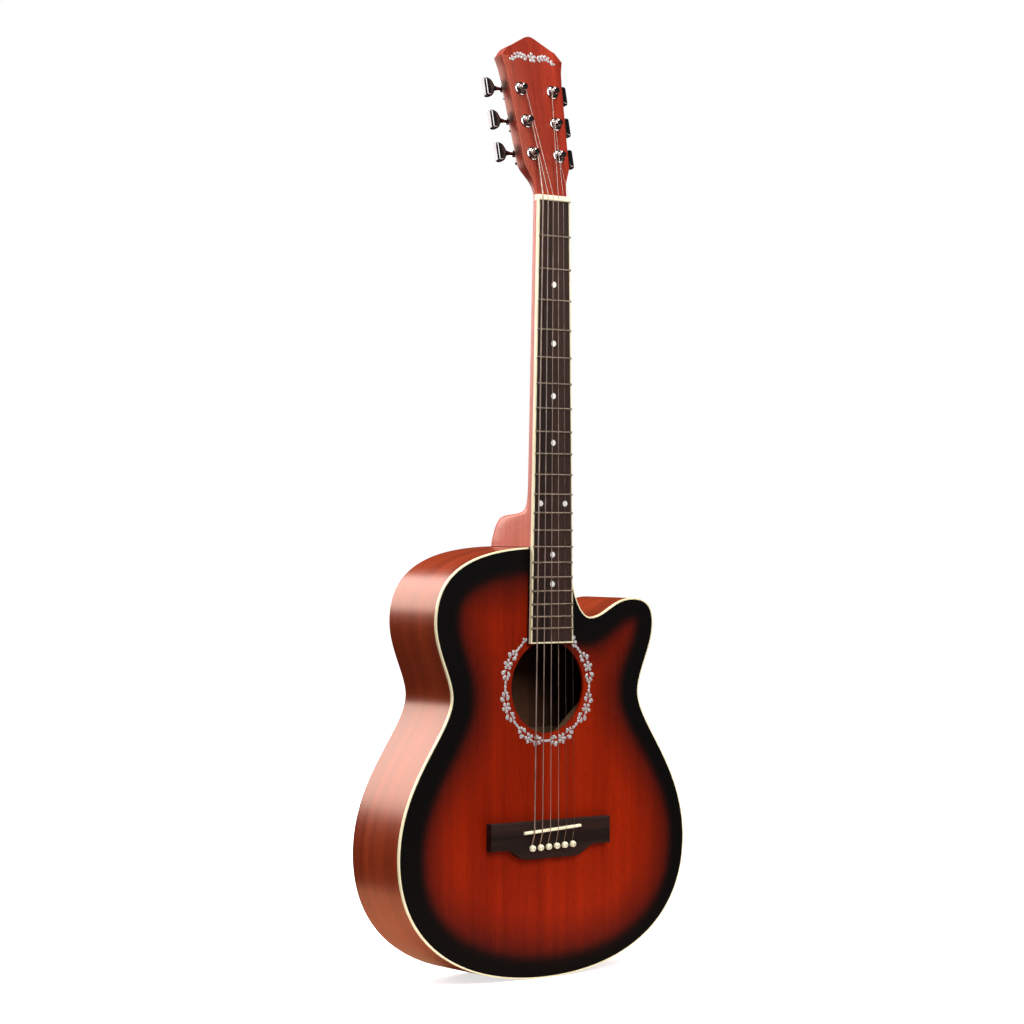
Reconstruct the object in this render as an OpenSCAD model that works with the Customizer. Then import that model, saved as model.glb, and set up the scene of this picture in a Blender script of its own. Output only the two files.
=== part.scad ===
// Cutaway steel-string acoustic guitar, 38 inch size.
// Z runs up the neck, X to the treble side and Y from the soundboard to the back.
// The origin is under the middle of the body, at the tail.

/* [Strings] */
// Scale length, from the nut to the nominal saddle line
scale_len = 640; // [632:1:646]
// Distance between the outer strings at the bridge pins
pin_spread = 53; // [50:0.5:55]
// Distance between the outer strings at the nut
nut_spread = 34; // [32:0.5:35]

/* [Body] */
// Body length, from the tail to the neck joint
body_len = 443; // [438:1:448]
// Width of the lower bout
lower_w = 376; // [360:1:390]
// Width of the waist
waist_w = 246; // [236:1:256]
// Width of the upper bout
upper_w = 288; // [278:1:296]
// Depth of the body over both plates
body_d = 80; // [76:1:90]
// Radius of the soundhole
hole_r = 47.5; // [44:0.5:48]
// Height of the soundhole's middle above the tail
hole_z = 299; // [297:0.5:300]

/* [Plates and bars] */
// Thickness of the soundboard, and height of the binding
top_t = 3; // [2.6:0.1:3.4]
// Thickness of the back
back_t = 2.8; // [2.4:0.1:3.2]
// Thickness of the bent sides
side_t = 2.2; // [1.8:0.1:2.6]
// Width of the edge binding
bind_w = 1.6; // [1.2:0.1:2]
// Width of the kerfed linings
lining_w = 6; // [5:0.5:7]
// Height of the kerfed linings
lining_h = 12; // [10:0.5:14]
// Height of the braces
brace_h = 14; // [11:0.5:15]

/* [Neck] */
// Thickness of the fretboard
board_t = 7; // [6:0.5:8]
// Number of frets
fret_count = 20; // [17:1:20]
// Width of the fretboard at the nut
nut_w = 41; // [40:0.5:43]
// Width of the fretboard at its end
end_w = 55.6; // [53:0.1:56]
// Backward tilt of the headstock in degrees
head_tilt = 13; // [11:0.5:15]
// Thickness of the headstock
head_t = 14; // [13:0.5:15]

/* [Bridge] */
// Width of the bridge
bridge_w = 157; // [145:1:160]
// Thickness of the bridge
bridge_t = 8; // [7:0.5:9]
// Height of the string line above the soundboard at the saddle
saddle_top = 12; // [11:0.5:13]

/* [Tuning machines] */
// Distance between neighbouring posts along the headstock
post_pitch = 35; // [34:0.5:36]
// Teeth on each post gear
gear_teeth = 14; // [14:1:14]

/* [Hidden] */
$fn = 48;

eps = 0.01;
pin_proud = bridge_t + 5;
// Radii of the strings, thickest first
wound_r = [0.67, 0.53, 0.41, 0.33];
plain_r = [0.2, 0.15];
string_r = concat(wound_r, plain_r);
// The thickest string over the saddle, or else the pins, stand furthest in front of the soundboard
proud = max(pin_proud, saddle_top + 2 * wound_r[0]);
// Y of the soundboard's outer face, so that the whole depth is centred on Y = 0
face_y = (proud - body_d) / 2;
joint_z = body_len;
nut_z = joint_z + scale_len * (1 - pow(2, -14 / 12));
// The saddle is set back from the scale line, so that fretted notes stay in tune
setback = 4.7;
saddle_z = nut_z - scale_len - setback;
nut_t = 6;
nut_top = board_t + 2.2;
// The fretboard runs on past the last fret, to the edge of the soundhole
board_tail = 15.5;
board_end_z = nut_z - scale_len * (1 - pow(2, -fret_count / 12)) - board_tail;
cut_x = 29;
inner_y = body_d - back_t;
lining_in = side_t + lining_w;
function fret_z(n) = nut_z - scale_len * (1 - pow(2, -n / 12));
function board_half(z) = (nut_w + (end_w - nut_w) * (nut_z - z) / (nut_z - board_end_z)) / 2;

// ---------- Body outline ----------
// Each station: x, z, heading in degrees, and the handle lengths before and after it
STATIONS = [
    [0, body_len, 180, 0, 87],
    [-upper_w / 2, 367, -90, 58, 29],
    [-waist_w / 2, 291, -90, 20, 35],
    [-lower_w / 2, 133, -90, 78, 89],
    [0, 0, 0, 106, 106],
    [lower_w / 2, 133, 90, 89, 78],
    [waist_w / 2, 291, 90, 35, 20],
    [upper_w / 2 - 1, 362, 90, 24, 22],
    [114, 389, 180, 16, 26],
    [57, 370, 180, 20, 15],
    [cut_x, body_len, 90, 42, 0]
];
// Steps along each stretch between two stations
STEPS = [18, 12, 24, 28, 28, 24, 12, 10, 10, 14];
LAST = len(STEPS);

function heading(a) = [cos(a), sin(a)];
function stretch(i) =
    let (a = STATIONS[i], b = STATIONS[i + 1])
    [[a[0], a[1]], [a[0], a[1]] + a[4] * heading(a[2]),
     [b[0], b[1]] - b[3] * heading(b[2]), [b[0], b[1]]];
function on_curve(p, t) =
    pow(1 - t, 3) * p[0] + 3 * t * pow(1 - t, 2) * p[1]
    + 3 * t * t * (1 - t) * p[2] + pow(t, 3) * p[3];
function slope(p, t) =
    3 * pow(1 - t, 2) * (p[1] - p[0]) + 6 * t * (1 - t) * (p[2] - p[1]) + 3 * t * t * (p[3] - p[2]);
// Point of the outline at station value u, moved inwards by d
function rim_at(u, d) =
    let (i = min(floor(u), LAST - 1), p = stretch(i), t = u - i, s = slope(p, t))
    on_curve(p, t) + d * [-s[1], s[0]] / norm(s);
function rim_values(from, to) =
    concat([for (i = [from : to - 1], k = [0 : STEPS[i] - 1]) i + k / STEPS[i]], [to]);
function rim(d, from, to) = [for (u = rim_values(from, to)) rim_at(u, d)];
function reversed(list) = [for (i = [len(list) - 1 : -1 : 0]) list[i]];

// Everything is drawn with the soundboard's face at Y = 0, then moved into place
module placed() {
    translate([0, face_y, 0]) children();
}
// A flat shape in X and Z, given a thickness along Y
module slab(y, thickness) {
    translate([0, y + thickness, 0]) rotate([90, 0, 0]) linear_extrude(thickness) children();
}
// The body outline, moved inwards by d
module inset(d) {
    intersection() {
        polygon(rim(d, 0, LAST));
        translate([-lower_w, -10]) square([2 * lower_w, joint_z - d + 10]);
    }
}
// A strip that follows the outline between two depths and two stations
module strip(outer, inner, from, to) {
    polygon(concat(rim(outer, from, to), reversed(rim(inner, from, to))));
}
module tube_between(p, q, r) {
    v = q - p;
    translate(p) rotate([0, acos(v[2] / norm(v)), atan2(v[1], v[0])]) cylinder(h = norm(v), r = r);
}

// ---------- String layout ----------
function pin_x(i) = -pin_spread / 2 + i * pin_spread / 5;
function nut_x(i) = -nut_spread / 2 + i * nut_spread / 5;
bridge_top_z = saddle_z + 9.5;
pin_slope = 1.4 / 53;
function pin_z(i) = bridge_top_z - 26.6 + pin_x(i) * pin_slope;
pin_r = 2.5;
groove_r = 0.8;
saddle_slant = 4;
saddle_wall = 3;

// Holes for the pins with the string groove on their nut side
module pin_holes(y, depth) {
    for (i = [0 : 5]) {
        slab(y, depth) translate([pin_x(i), pin_z(i)]) circle(pin_r);
        slab(y, depth) translate([pin_x(i), pin_z(i) + pin_r]) circle(groove_r);
    }
}

// ---------- Body ----------
module soundboard() {
    color("firebrick") placed() difference() {
        slab(0, top_t) inset(bind_w);
        slab(-1, top_t + 2) translate([0, hole_z]) circle(hole_r, $fn = 96);
        pin_holes(-1, top_t + 2);
    }
}

rosette_r = 56;
rosette_n = 8;
rosette_turn = 20;
module petal(length, width) {
    intersection() {
        translate([0, width * 1.2]) circle(width * 1.7);
        translate([0, -width * 1.2]) circle(width * 1.7);
        square([length, 2 * width], center = true);
    }
}
module flower() {
    circle(1.5);
    for (a = [0 : 72 : 359]) rotate(a) translate([3.6, 0]) circle(2);
    for (s = [-1, 1]) {
        translate([s * 1.5, s * 8.5]) rotate(s * 60) petal(6.4, 1.9);
        translate([3.4, s * 9]) circle(1.5);
    }
}
module rosette() {
    color("silver") placed() slab(-0.4, 0.4) {
        for (k = [0 : rosette_n - 1]) {
            a = rosette_turn + k * 360 / rosette_n;
            if (k != 1 && k != 2) translate([0, hole_z]) rotate(a) translate([rosette_r, 0]) flower();
            for (b = [-4, 0, 4])
                if (k != 1) translate([0, hole_z]) rotate(a + 180 / rosette_n + b)
                    translate([rosette_r - 0.6, 0]) circle(1.6);
        }
    }
}

module top_binding() {
    color("ivory") placed() slab(0, top_t) difference() {
        inset(0);
        inset(bind_w);
    }
}

tenon_w = 22;
tenon_z = joint_z - 20;
// The neck's dovetail, which runs from the soundboard towards the back
module dovetail() {
    polygon([[-tenon_w / 2, tenon_z], [tenon_w / 2, tenon_z],
             [tenon_w / 2 - 4, joint_z + 1], [-tenon_w / 2 + 4, joint_z + 1]]);
}
tenon_d = inner_y - top_t - 8;

side_y = top_t;
side_d = inner_y - top_t;
module side_bass() {
    join = cut_x - side_t;
    color("indianred") placed() difference() {
        slab(side_y, side_d) polygon(concat(
            [[join, joint_z]], rim(0, 0, 4), reversed(rim(side_t, 0, 4)), [[join, joint_z - side_t]]));
        slab(side_y - 1, tenon_d + 1) dovetail();
    }
}
module side_treble() {
    color("indianred") placed() slab(side_y, side_d) strip(0, side_t, 4, LAST);
}
module back() {
    color("brown") placed() slab(inner_y, back_t) inset(0);
}

block_w = 64;
block_h = 46;
module neck_block_area() {
    intersection() {
        inset(side_t);
        translate([-block_w / 2 - 4, joint_z - side_t - block_h]) square([block_w, block_h + 1]);
    }
}
tail_w = 60;
tail_h = 20;
module tail_block_area() {
    intersection() {
        inset(side_t);
        translate([-tail_w / 2, 0]) square([tail_w, tail_h]);
    }
}
// One ring of kerfed lining: saw cuts leave a thin web against the side
kerf = 0.1;
web = 1.2;
module lining_ring() {
    u = rim_values(0, LAST);
    n = len(u) - 1;
    difference() {
        inset(side_t);
        polygon([for (k = [0 : n - 1]) let (a = u[k], b = u[k + 1], c = kerf * (b - a))
            each [rim_at(a, side_t + web), rim_at(a + c, side_t + web),
                  rim_at(a + c, lining_in), rim_at(b - eps * (b - a), lining_in)]]);
        translate([-lower_w, joint_z - lining_in]) square(2 * lower_w);
        neck_block_area();
        tail_block_area();
    }
}
module top_linings() {
    color("burlywood") placed() slab(top_t, lining_h) lining_ring();
}
module back_linings() {
    color("burlywood") placed() slab(inner_y - lining_h, lining_h) lining_ring();
}

rod_r = 2.5;
rod_y = 7.5;
rod_nut_r = 4;
rod_nut_z = joint_z - 40;
rod_nut_h = 16;
module neck_block() {
    color("peru") placed() difference() {
        slab(top_t, side_d) neck_block_area();
        slab(top_t - 1, tenon_d + 1) dovetail();
        translate([0, rod_y, joint_z - 60]) cylinder(h = 60, r = rod_nut_r + 0.4);
    }
}
module tail_block() {
    color("peru") placed() slab(top_t, side_d) tail_block_area();
}

// ---------- Braces ----------
// A bar with ramped ends, its foot on the plate at Y = 0 and its top at Y = h
module bar(x, z, angle, length, w, h, ramp) {
    translate([x, 0, z]) rotate([0, -angle, 0]) translate([0, 0, -w / 2]) linear_extrude(w)
        polygon([[-length / 2, 0], [length / 2, 0], [length / 2, 3],
                 [length / 2 - ramp, h], [ramp - length / 2, h], [-length / 2, 3]]);
}
module inside_linings(y, depth) {
    intersection() {
        children();
        slab(y, depth) inset(lining_in + 0.2);
    }
}
x_half = 48;
x_z = hole_z - 73;
brace_w = 8;
x_len = 330;
x_shift = 32;
module x_bar(side) {
    bar(side * x_shift * sin(x_half), x_z - x_shift * cos(x_half), 90 + side * x_half,
        x_len, brace_w, brace_h, 50);
}
// The two bars cross in a lap joint at half height
module x_lap(side, low) {
    translate([0, low, x_z]) rotate([0, -90 - side * x_half, 0])
        translate([-30, 0, -brace_w / 2]) cube([60, brace_h / 2 + 1, brace_w]);
}
module x_brace_bass() {
    color("wheat") placed() inside_linings(top_t, brace_h) translate([0, top_t, 0]) difference() {
        x_bar(-1);
        x_lap(1, brace_h / 2);
    }
}
module x_brace_treble() {
    color("wheat") placed() inside_linings(top_t, brace_h) translate([0, top_t, 0]) difference() {
        x_bar(1);
        x_lap(-1, -1);
    }
}
transverse_w = 9;
transverse_z = hole_z + hole_r + 1 + transverse_w / 2;
module transverse_brace() {
    color("wheat") placed() inside_linings(top_t, brace_h) translate([0, top_t, 0])
        bar(0, transverse_z, 0, 2 * 133, transverse_w, brace_h - 2, 30);
}
module tone_bars() {
    color("wheat") placed() translate([0, top_t, 0]) {
        bar(12, 92, -18, 130, 7, 10, 30);
        bar(8, 55, -18, 120, 7, 10, 30);
    }
}
module finger_braces() {
    color("wheat") placed() translate([0, top_t, 0])
        for (s = [-1, 1]) bar(s * 109, 177, s * x_half, 52, 6, 8, 14);
}
back_bar_z = [72, 165, 248, 348];
back_bar_w = 8;
back_bar_h = 13;
module back_braces() {
    color("wheat") placed() inside_linings(inner_y - back_bar_h, back_bar_h)
        for (z = back_bar_z) translate([0, inner_y, 0]) mirror([0, 1, 0])
            bar(0, z, 0, 2 * lower_w, back_bar_w, back_bar_h, 10);
}
module back_strip() {
    color("tan") placed() slab(inner_y - 2, 2) difference() {
        translate([-9, tail_h + 1]) square([18, joint_z - block_h - side_t - tail_h - 2]);
        for (z = back_bar_z) translate([-10, z - back_bar_w / 2]) square([20, back_bar_w]);
    }
}

// ---------- Bridge ----------
plate_t = 3;
plate_up = 18.7;
plate_down = 25.3;
module bridge_plate() {
    color("peru") placed() difference() {
        slab(top_t, plate_t) polygon([[-48, saddle_z + plate_up], [48, saddle_z + plate_up],
                                      [80, saddle_z - plate_down], [-80, saddle_z - plate_down]]);
        pin_holes(top_t - 1, plate_t + 2);
    }
}
wing_h = 28;
belly_h = 38.7;
wing_w = 20;
// Lower edge of the bridge: flat wings, then an S curve down to the belly
function bridge_edge(x) =
    let (e = (bridge_w / 2 - wing_w - abs(x)) / 27, t = max(0, min(1, e)))
    -wing_h - (belly_h - wing_h) * (1 - cos(180 * t)) / 2;
module bridge_outline() {
    n = 36;
    translate([0, bridge_top_z]) polygon(concat(
        [[bridge_w / 2, 0], [-bridge_w / 2, 0]],
        [for (k = [0 : n]) let (x = -bridge_w / 2 + k * bridge_w / n) [x, bridge_edge(x)]]));
}
saddle_len = 74;
module saddle_shape() {
    translate([0, saddle_z]) rotate(atan(saddle_slant / saddle_len))
        translate([-saddle_len / 2, -saddle_wall / 2]) square([saddle_len, saddle_wall]);
}
module bridge() {
    color("#2a1a16") placed() difference() {
        slab(-bridge_t, bridge_t) bridge_outline();
        slab(-bridge_t - 1, bridge_t - 2) saddle_shape();
        pin_holes(-bridge_t - 1, bridge_t + 2);
    }
}
module saddle() {
    color("ivory") placed() slab(-saddle_top, saddle_top - 3) saddle_shape();
}
module bridge_pins() {
    color("ivory") placed() for (i = [0 : 5]) difference() {
        translate([pin_x(i), 0, pin_z(i)]) rotate([-90, 0, 0]) rotate_extrude()
            polygon([[0, -pin_proud], [1.6, -pin_proud + 0.3], [2.8, -pin_proud + 1.2],
                     [3.3, -pin_proud + 2.4], [3.3, -bridge_t - 0.8], [2.9, -bridge_t],
                     [pin_r, -bridge_t], [pin_r, top_t + plate_t + 2], [0, top_t + plate_t + 6]]);
        slab(-bridge_t - 1.6, 40) translate([pin_x(i), pin_z(i) + pin_r]) circle(groove_r);
    }
}

// ---------- Strings ----------
// Bend over the saddle's tail-side edge
function saddle_bend(i) =
    let (x = pin_x(i), z = saddle_z + x * saddle_slant / saddle_len - saddle_wall / 2)
    [x, -saddle_top - string_r[i], z];
nut_bend_z = nut_z + nut_t;
function nut_bend(i) = [nut_x(i), -board_t - 1.5 - string_r[i], nut_bend_z];
head_y = -2;
head_z = nut_bend_z;
function head_pt(x, t, n) =
    [x, head_y + t * sin(head_tilt) - n * cos(head_tilt), head_z + t * cos(head_tilt) + n * sin(head_tilt)];
// Strings 1 to 3 of this list go up the bass column of posts, 4 to 6 up the treble column
function post_row(i) = i < 3 ? i : 5 - i;
function post_side(i) = i < 3 ? -1 : 1;
function post_t(i) = 44 + post_row(i) * post_pitch;
function post_x(i) = post_side(i) * (17.4 + post_row(i) * 1.8);
post_r = 3;
string_n = 3.6;
function post_end(i) =
    head_pt(post_x(i) - post_side(i) * (post_r + string_r[i] + 0.05), post_t(i), string_n);
string_sides = 12;
// Ring of points about one corner of a path, square to the mean of its two directions
function unit(v) = v / norm(v);
function path_ring(path, k, r) =
    let (before = k > 0 ? unit(path[k] - path[k - 1]) : unit(path[1] - path[0]),
         after = k < len(path) - 1 ? unit(path[k + 1] - path[k]) : before,
         along = unit(before + after), side = unit(cross(along, [1, 0.01, 0.02])), up = cross(along, side))
    [for (j = [0 : string_sides - 1]) let (a = 360 * j / string_sides) path[k] + r * (cos(a) * side + sin(a) * up)];
module tube(path, r) {
    m = string_sides;
    last = len(path) - 1;
    polyhedron(
        points = [for (k = [0 : last]) each path_ring(path, k, r)],
        faces = concat(
            [[for (j = [m - 1 : -1 : 0]) j]],
            [[for (j = [0 : m - 1]) last * m + j]],
            [for (k = [0 : last - 1], j = [0 : m - 1]) let (a = k * m + j, b = k * m + (j + 1) % m)
                [a, b, b + m, a + m]]));
}
module string(i) {
    pin_top = [pin_x(i), -bridge_t, pin_z(i) + pin_r];
    pin_end = [pin_x(i), top_t + plate_t, pin_z(i) + pin_r];
    tube([pin_end, pin_top, saddle_bend(i), nut_bend(i), post_end(i)], string_r[i]);
}
module wound_strings() {
    color("#8a7462") placed() for (i = [0 : 3]) string(i);
}
module plain_strings() {
    color("#b8b4ae") placed() for (i = [4 : 5]) string(i);
}
module ball_ends() {
    color("gold") placed() for (i = [0 : 5])
        translate([pin_x(i) - 1.6, top_t + plate_t + 2, pin_z(i) + pin_r + 2.2]) rotate([0, 90, 0])
            difference() {
                cylinder(h = 3.2, r = 2);
                translate([0, 0, -1]) cylinder(h = 6, r = 0.8);
            }
}

// ---------- Neck ----------
// Each ring of the neck: height, depth behind the fretboard, and a power that is
// 1 for a half ellipse and smaller for a squarer section
NECK_RINGS = [
    [joint_z, 77, 0.48], [joint_z + 6, 76, 0.48], [joint_z + 14, 73.5, 0.5], [joint_z + 21, 70, 0.5],
    [joint_z + 27, 65.5, 0.52], [joint_z + 30.5, 60, 0.55], [joint_z + 32.5, 50, 0.6],
    [joint_z + 33.5, 38, 0.65], [joint_z + 35, 28, 0.72], [joint_z + 38, 21.5, 0.85],
    [joint_z + 44, 18, 1], [joint_z + 55, 16.4, 1.08], [joint_z + 75, 15.6, 1.1],
    [joint_z + 200, 14.4, 1.12], [nut_z, 13, 1.12], [nut_bend_z, 13, 1.12]
];
ring_n = 28;
function neck_ring(z, depth, power) =
    let (w = board_half(min(z, nut_z)) - 0.2)
    [for (k = [0 : ring_n]) let (a = 180 * k / ring_n, c = cos(a))
        [w * sign(c) * pow(abs(c), power), depth * pow(max(0, sin(a)), power), z]];
module neck_shape() {
    rings = [for (r = NECK_RINGS) neck_ring(r[0], min(r[1], body_d - 3), r[2])];
    m = ring_n + 1;
    last = len(rings) - 1;
    polyhedron(
        points = [for (r = rings) each r],
        faces = concat(
            [[for (k = [0 : ring_n]) k]],
            [[for (k = [ring_n : -1 : 0]) last * m + k]],
            [for (j = [0 : last - 1], k = [0 : ring_n])
                let (a = j * m + k, b = j * m + (k + 1) % m) [a, a + m, b + m, b]]));
}
channel_w = 6.4;
rod_top_z = nut_z - 12;
module neck() {
    color("indianred") placed() difference() {
        union() {
            neck_shape();
            slab(top_t, tenon_d) intersection() {
                dovetail();
                translate([-50, 0]) square([100, joint_z]);
            }
        }
        translate([-channel_w / 2, -1, tenon_z - 1]) cube([channel_w, rod_y + rod_r + 1.2, rod_top_z - tenon_z + 1]);
        translate([0, rod_y, tenon_z - 1]) cylinder(h = 21, r = rod_nut_r + 0.4);
    }
}
// Half of the headstock's outline: half width against distance from the nut
HEAD_EDGE = [
    [20.4, -8], [20.5, 0], [21.1, 8], [22.6, 15], [25.4, 22], [28.3, 28.5], [29.8, 35], [30.2, 44],
    [35.6, 123], [37.4, 138], [40.4, 149.2], [32, 158.6], [26.5, 161], [7, 171.4], [3.4, 172.8]
];
HEAD_TOP = [0, 173.2];
module head_frame() {
    translate([0, head_y, head_z]) rotate([90 - head_tilt, 0, 0]) children();
}
module head_outline() {
    polygon(concat(HEAD_EDGE, [HEAD_TOP], [for (p = reversed(HEAD_EDGE)) [-p[0], p[1]]]));
}
sleeve_r = 4.4;
screw_r = 1.2;
// Each housing's screw, measured from its post towards the middle and towards the nut
screw_in = 6.5;
screw_down = 9.5;
module headstock() {
    color("firebrick") placed() difference() {
        head_frame() translate([0, 0, -head_t]) linear_extrude(head_t) head_outline();
        translate([-60, -60, head_z - 60]) cube([120, 120, 60]);
        head_frame() for (i = [0 : 5]) {
            translate([post_x(i), post_t(i), -head_t - 1]) cylinder(h = head_t + 2, r = sleeve_r);
            translate([post_x(i) - post_side(i) * screw_in, post_t(i) - screw_down, -head_t - 1])
                cylinder(h = 10, r = screw_r);
        }
    }
}
side_bind = 1.5;
module board_shape(trim, bottom) {
    polygon([[-board_half(nut_z) + trim, nut_z], [board_half(nut_z) - trim, nut_z],
             [board_half(board_end_z) - trim, board_end_z + bottom],
             [-board_half(board_end_z) + trim, board_end_z + bottom]]);
}
slot_w = 0.6;
tang_d = 1.8;
dot_r = 3;
dot_d = 1.2;
function dot_z(n) = (fret_z(n) + fret_z(n - 1)) / 2;
DOTS = [[0, 3], [0, 5], [0, 7], [0, 9], [-16, 12], [16, 12], [0, 15], [0, 17]];
module dots() {
    for (d = DOTS) slab(-board_t, dot_d) translate([d[0], dot_z(d[1])]) circle(dot_r);
}
module fretboard() {
    color("#3a2420") placed() difference() {
        slab(-board_t, board_t) board_shape(side_bind, side_bind);
        for (n = [1 : fret_count])
            translate([-40, -board_t - 1, fret_z(n) - slot_w / 2]) cube([80, tang_d + 1, slot_w]);
        dots();
    }
}
module fretboard_binding() {
    color("ivory") placed() slab(-board_t, board_t) difference() {
        board_shape(0, 0);
        translate([0, eps]) board_shape(side_bind, side_bind - eps);
        translate([-40, nut_z]) square([80, 1]);
    }
}
crown_r = 1.1;
module frets() {
    color("silver") placed() for (n = [1 : fret_count]) {
        w = board_half(fret_z(n));
        translate([-w, -board_t, fret_z(n)]) rotate([90, 0, 90]) linear_extrude(2 * w) intersection() {
            circle(crown_r);
            translate([-2, -2]) square([2, 4]);
        }
        translate([-w + side_bind + 0.1, -board_t, fret_z(n) - slot_w / 2])
            cube([2 * (w - side_bind - 0.1), tang_d, slot_w]);
    }
}
module position_dots() {
    color("white") placed() dots();
}
module nut() {
    color("ivory") placed() difference() {
        translate([-nut_w / 2, -nut_top, nut_z]) cube([nut_w, nut_top, nut_t]);
        for (i = [0 : 5]) {
            v = nut_bend(i) - saddle_bend(i);
            tube_between(nut_bend(i) - v * 0.02, nut_bend(i) + v * 0.01, string_r[i] + 0.02);
        }
    }
}
module truss_rod() {
    color("silver") placed() translate([0, rod_y, rod_nut_z + 6]) cylinder(h = rod_top_z - 1 - rod_nut_z - 6, r = rod_r);
}
module truss_rod_nut() {
    color("goldenrod") placed() translate([0, rod_y, rod_nut_z]) difference() {
        cylinder(h = rod_nut_h, r = rod_nut_r);
        translate([0, 0, 5.9]) cylinder(h = rod_nut_h, r = rod_r + 0.05);
        translate([0, 0, -1]) cylinder(h = 5, r = 2.6, $fn = 6);
    }
}

// ---------- Tuning machines ----------
gear_r = 3.5;
worm_r = 1.5;
gear_pitch = 2 * PI * gear_r / gear_teeth;
// Tooth size, from which heights and gaps follow
tooth = 2 * gear_r / gear_teeth;
gear_h = 1.6;
gear_n = -head_t - 4.4;
worm_t = gear_r + worm_r;
worm_len = 6;
housing_d = 9;
housing_r = 7.6;
// Round nose of the housing, which carries the button's shaft
nose_r = 3.4;
stub_r = 1.9;
shaft_r = 2;
journal_r = 0.9;
lug_h = 2.4;
// Each machine is drawn for the treble side, and mirrored for the bass side
module machine(i) {
    placed() head_frame() translate([post_x(i), post_t(i), 0]) mirror([post_side(i) < 0 ? 1 : 0, 0, 0]) children();
}
module housing() {
    difference() {
        union() {
            translate([-8.6, -6, -head_t - housing_d]) cube([16.2, 15.4, housing_d]);
            translate([6, worm_t, gear_n]) rotate([0, 90, 0]) cylinder(h = 5.5, r = nose_r);
            translate([0, 0, -head_t - housing_d]) cylinder(h = housing_d, r = housing_r);
            translate([-screw_in, -screw_down, -head_t - lug_h]) cylinder(h = lug_h, r = 3);
            translate([-screw_in - 2.1, -screw_down, -head_t - lug_h]) cube([5.1, 5, lug_h]);
        }
        translate([0, 0, gear_n - 1.4]) cylinder(h = 10, r = gear_r + 1.1);
        translate([-worm_len / 2 - 1.2, worm_t, gear_n]) rotate([0, 90, 0])
            cylinder(h = worm_len + 2.4, r = worm_r + 1.1);
        translate([-6.7, worm_t, gear_n]) rotate([0, 90, 0]) cylinder(h = 8, r = journal_r + 0.05);
        translate([0, worm_t, gear_n]) rotate([0, 90, 0]) cylinder(h = 20, r = shaft_r + 0.05);
        translate([0, 0, -head_t - housing_d + 1]) cylinder(h = 20, r = stub_r + 0.05);
        translate([-screw_in, -screw_down, -head_t - 4]) cylinder(h = 6, r = screw_r);
    }
}
module tuner_housings() {
    color("dimgray") for (i = [0 : 5]) machine(i) housing();
}
flange_r = 7.2;
flange_h = 1.8;
module tuner_bushings() {
    color("silver") for (i = [0 : 5]) machine(i) difference() {
        union() {
            translate([0, 0, -head_t + 1]) cylinder(h = head_t - 1, r = sleeve_r);
            cylinder(h = flange_h, r1 = flange_r, r2 = flange_r - 0.8);
        }
        translate([0, 0, -head_t]) cylinder(h = head_t + 5, r = post_r + 0.05);
    }
}
module tuner_screws() {
    color("silver") for (i = [0 : 5]) machine(i) translate([-screw_in, -screw_down, -head_t]) {
        translate([0, 0, -lug_h]) cylinder(h = 10, r = screw_r);
        translate([0, 0, -lug_h - 1.4]) difference() {
            cylinder(h = 1.4, r = 2.3);
            translate([-0.3, -3, -1]) cube([0.6, 6, 1.6]);
        }
    }
}
post_h = 9;
module post(i) {
    color("silver") machine(i) difference() {
        union() {
            translate([0, 0, gear_n + gear_h / 2]) cylinder(h = post_h - gear_n - gear_h / 2, r = post_r);
            translate([0, 0, -head_t - housing_d + 1.1]) cylinder(h = housing_d, r = stub_r);
            translate([0, 0, post_h - 1.2]) cylinder(h = 1.2, r1 = post_r, r2 = post_r + 0.5);
        }
        translate([-10, 0, string_n]) rotate([0, 90, 0]) cylinder(h = 20, r = 0.9);
    }
}
module gear(i) {
    step = 360 / gear_teeth;
    root = gear_r - 1.1 * tooth;
    tip = gear_r + 0.82 * tooth;
    color("gold") machine(i) translate([0, 0, gear_n - gear_h / 2]) difference() {
        linear_extrude(gear_h) polygon([for (k = [0 : gear_teeth - 1]) let (a = 90 + (k + 0.5) * step) each [
            root * heading(a - step * 0.26), tip * heading(a - step * 0.1),
            tip * heading(a + step * 0.1), root * heading(a + step * 0.26)]]);
        translate([0, 0, -1]) cylinder(h = 5, r = stub_r);
    }
}
// The worm: one solid whose radius rises to the thread's crest along a helix about X
worm_root = worm_r - tooth;
worm_tip = worm_r + 0.82 * tooth;
thread_step = gear_pitch / 13;
thread_sides = 16;
function worm_radius(x, a) =
    let (p = x / gear_pitch - a / 360, d = abs(p - round(p)) * gear_pitch)
    worm_root + (worm_tip - worm_root) * max(0, min(1, (0.72 * tooth - d) / (0.4 * tooth)));
module thread() {
    n = round(worm_len / thread_step);
    m = thread_sides;
    polyhedron(
        points = [for (k = [0 : n], j = [0 : m - 1])
            let (x = -worm_len / 2 + k * worm_len / n, a = 360 * j / m, r = worm_radius(x, a))
            [x, -r * cos(a), r * sin(a)]],
        faces = concat(
            [[for (j = [m - 1 : -1 : 0]) j]],
            [[for (j = [0 : m - 1]) n * m + j]],
            [for (k = [0 : n - 1], j = [0 : m - 1]) let (a = k * m + j, b = k * m + (j + 1) % m)
                [a, b, b + m, a + m]]));
}
button_in = 20.8;
shaft_in = 8;
module worm(i) {
    color("silver") machine(i) translate([0, worm_t, gear_n]) {
        thread();
        rotate([0, 90, 0]) translate([0, 0, -6.5]) cylinder(h = 6.5 - worm_len / 2, r = journal_r);
        rotate([0, 90, 0]) translate([0, 0, worm_len / 2])
            cylinder(h = button_in + shaft_in - worm_len / 2, r = shaft_r);
        rotate([0, 90, 0]) translate([0, 0, 11.6]) cylinder(h = 1.6, r = shaft_r + 1.2);
    }
}
button_w = 12.2;
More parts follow.
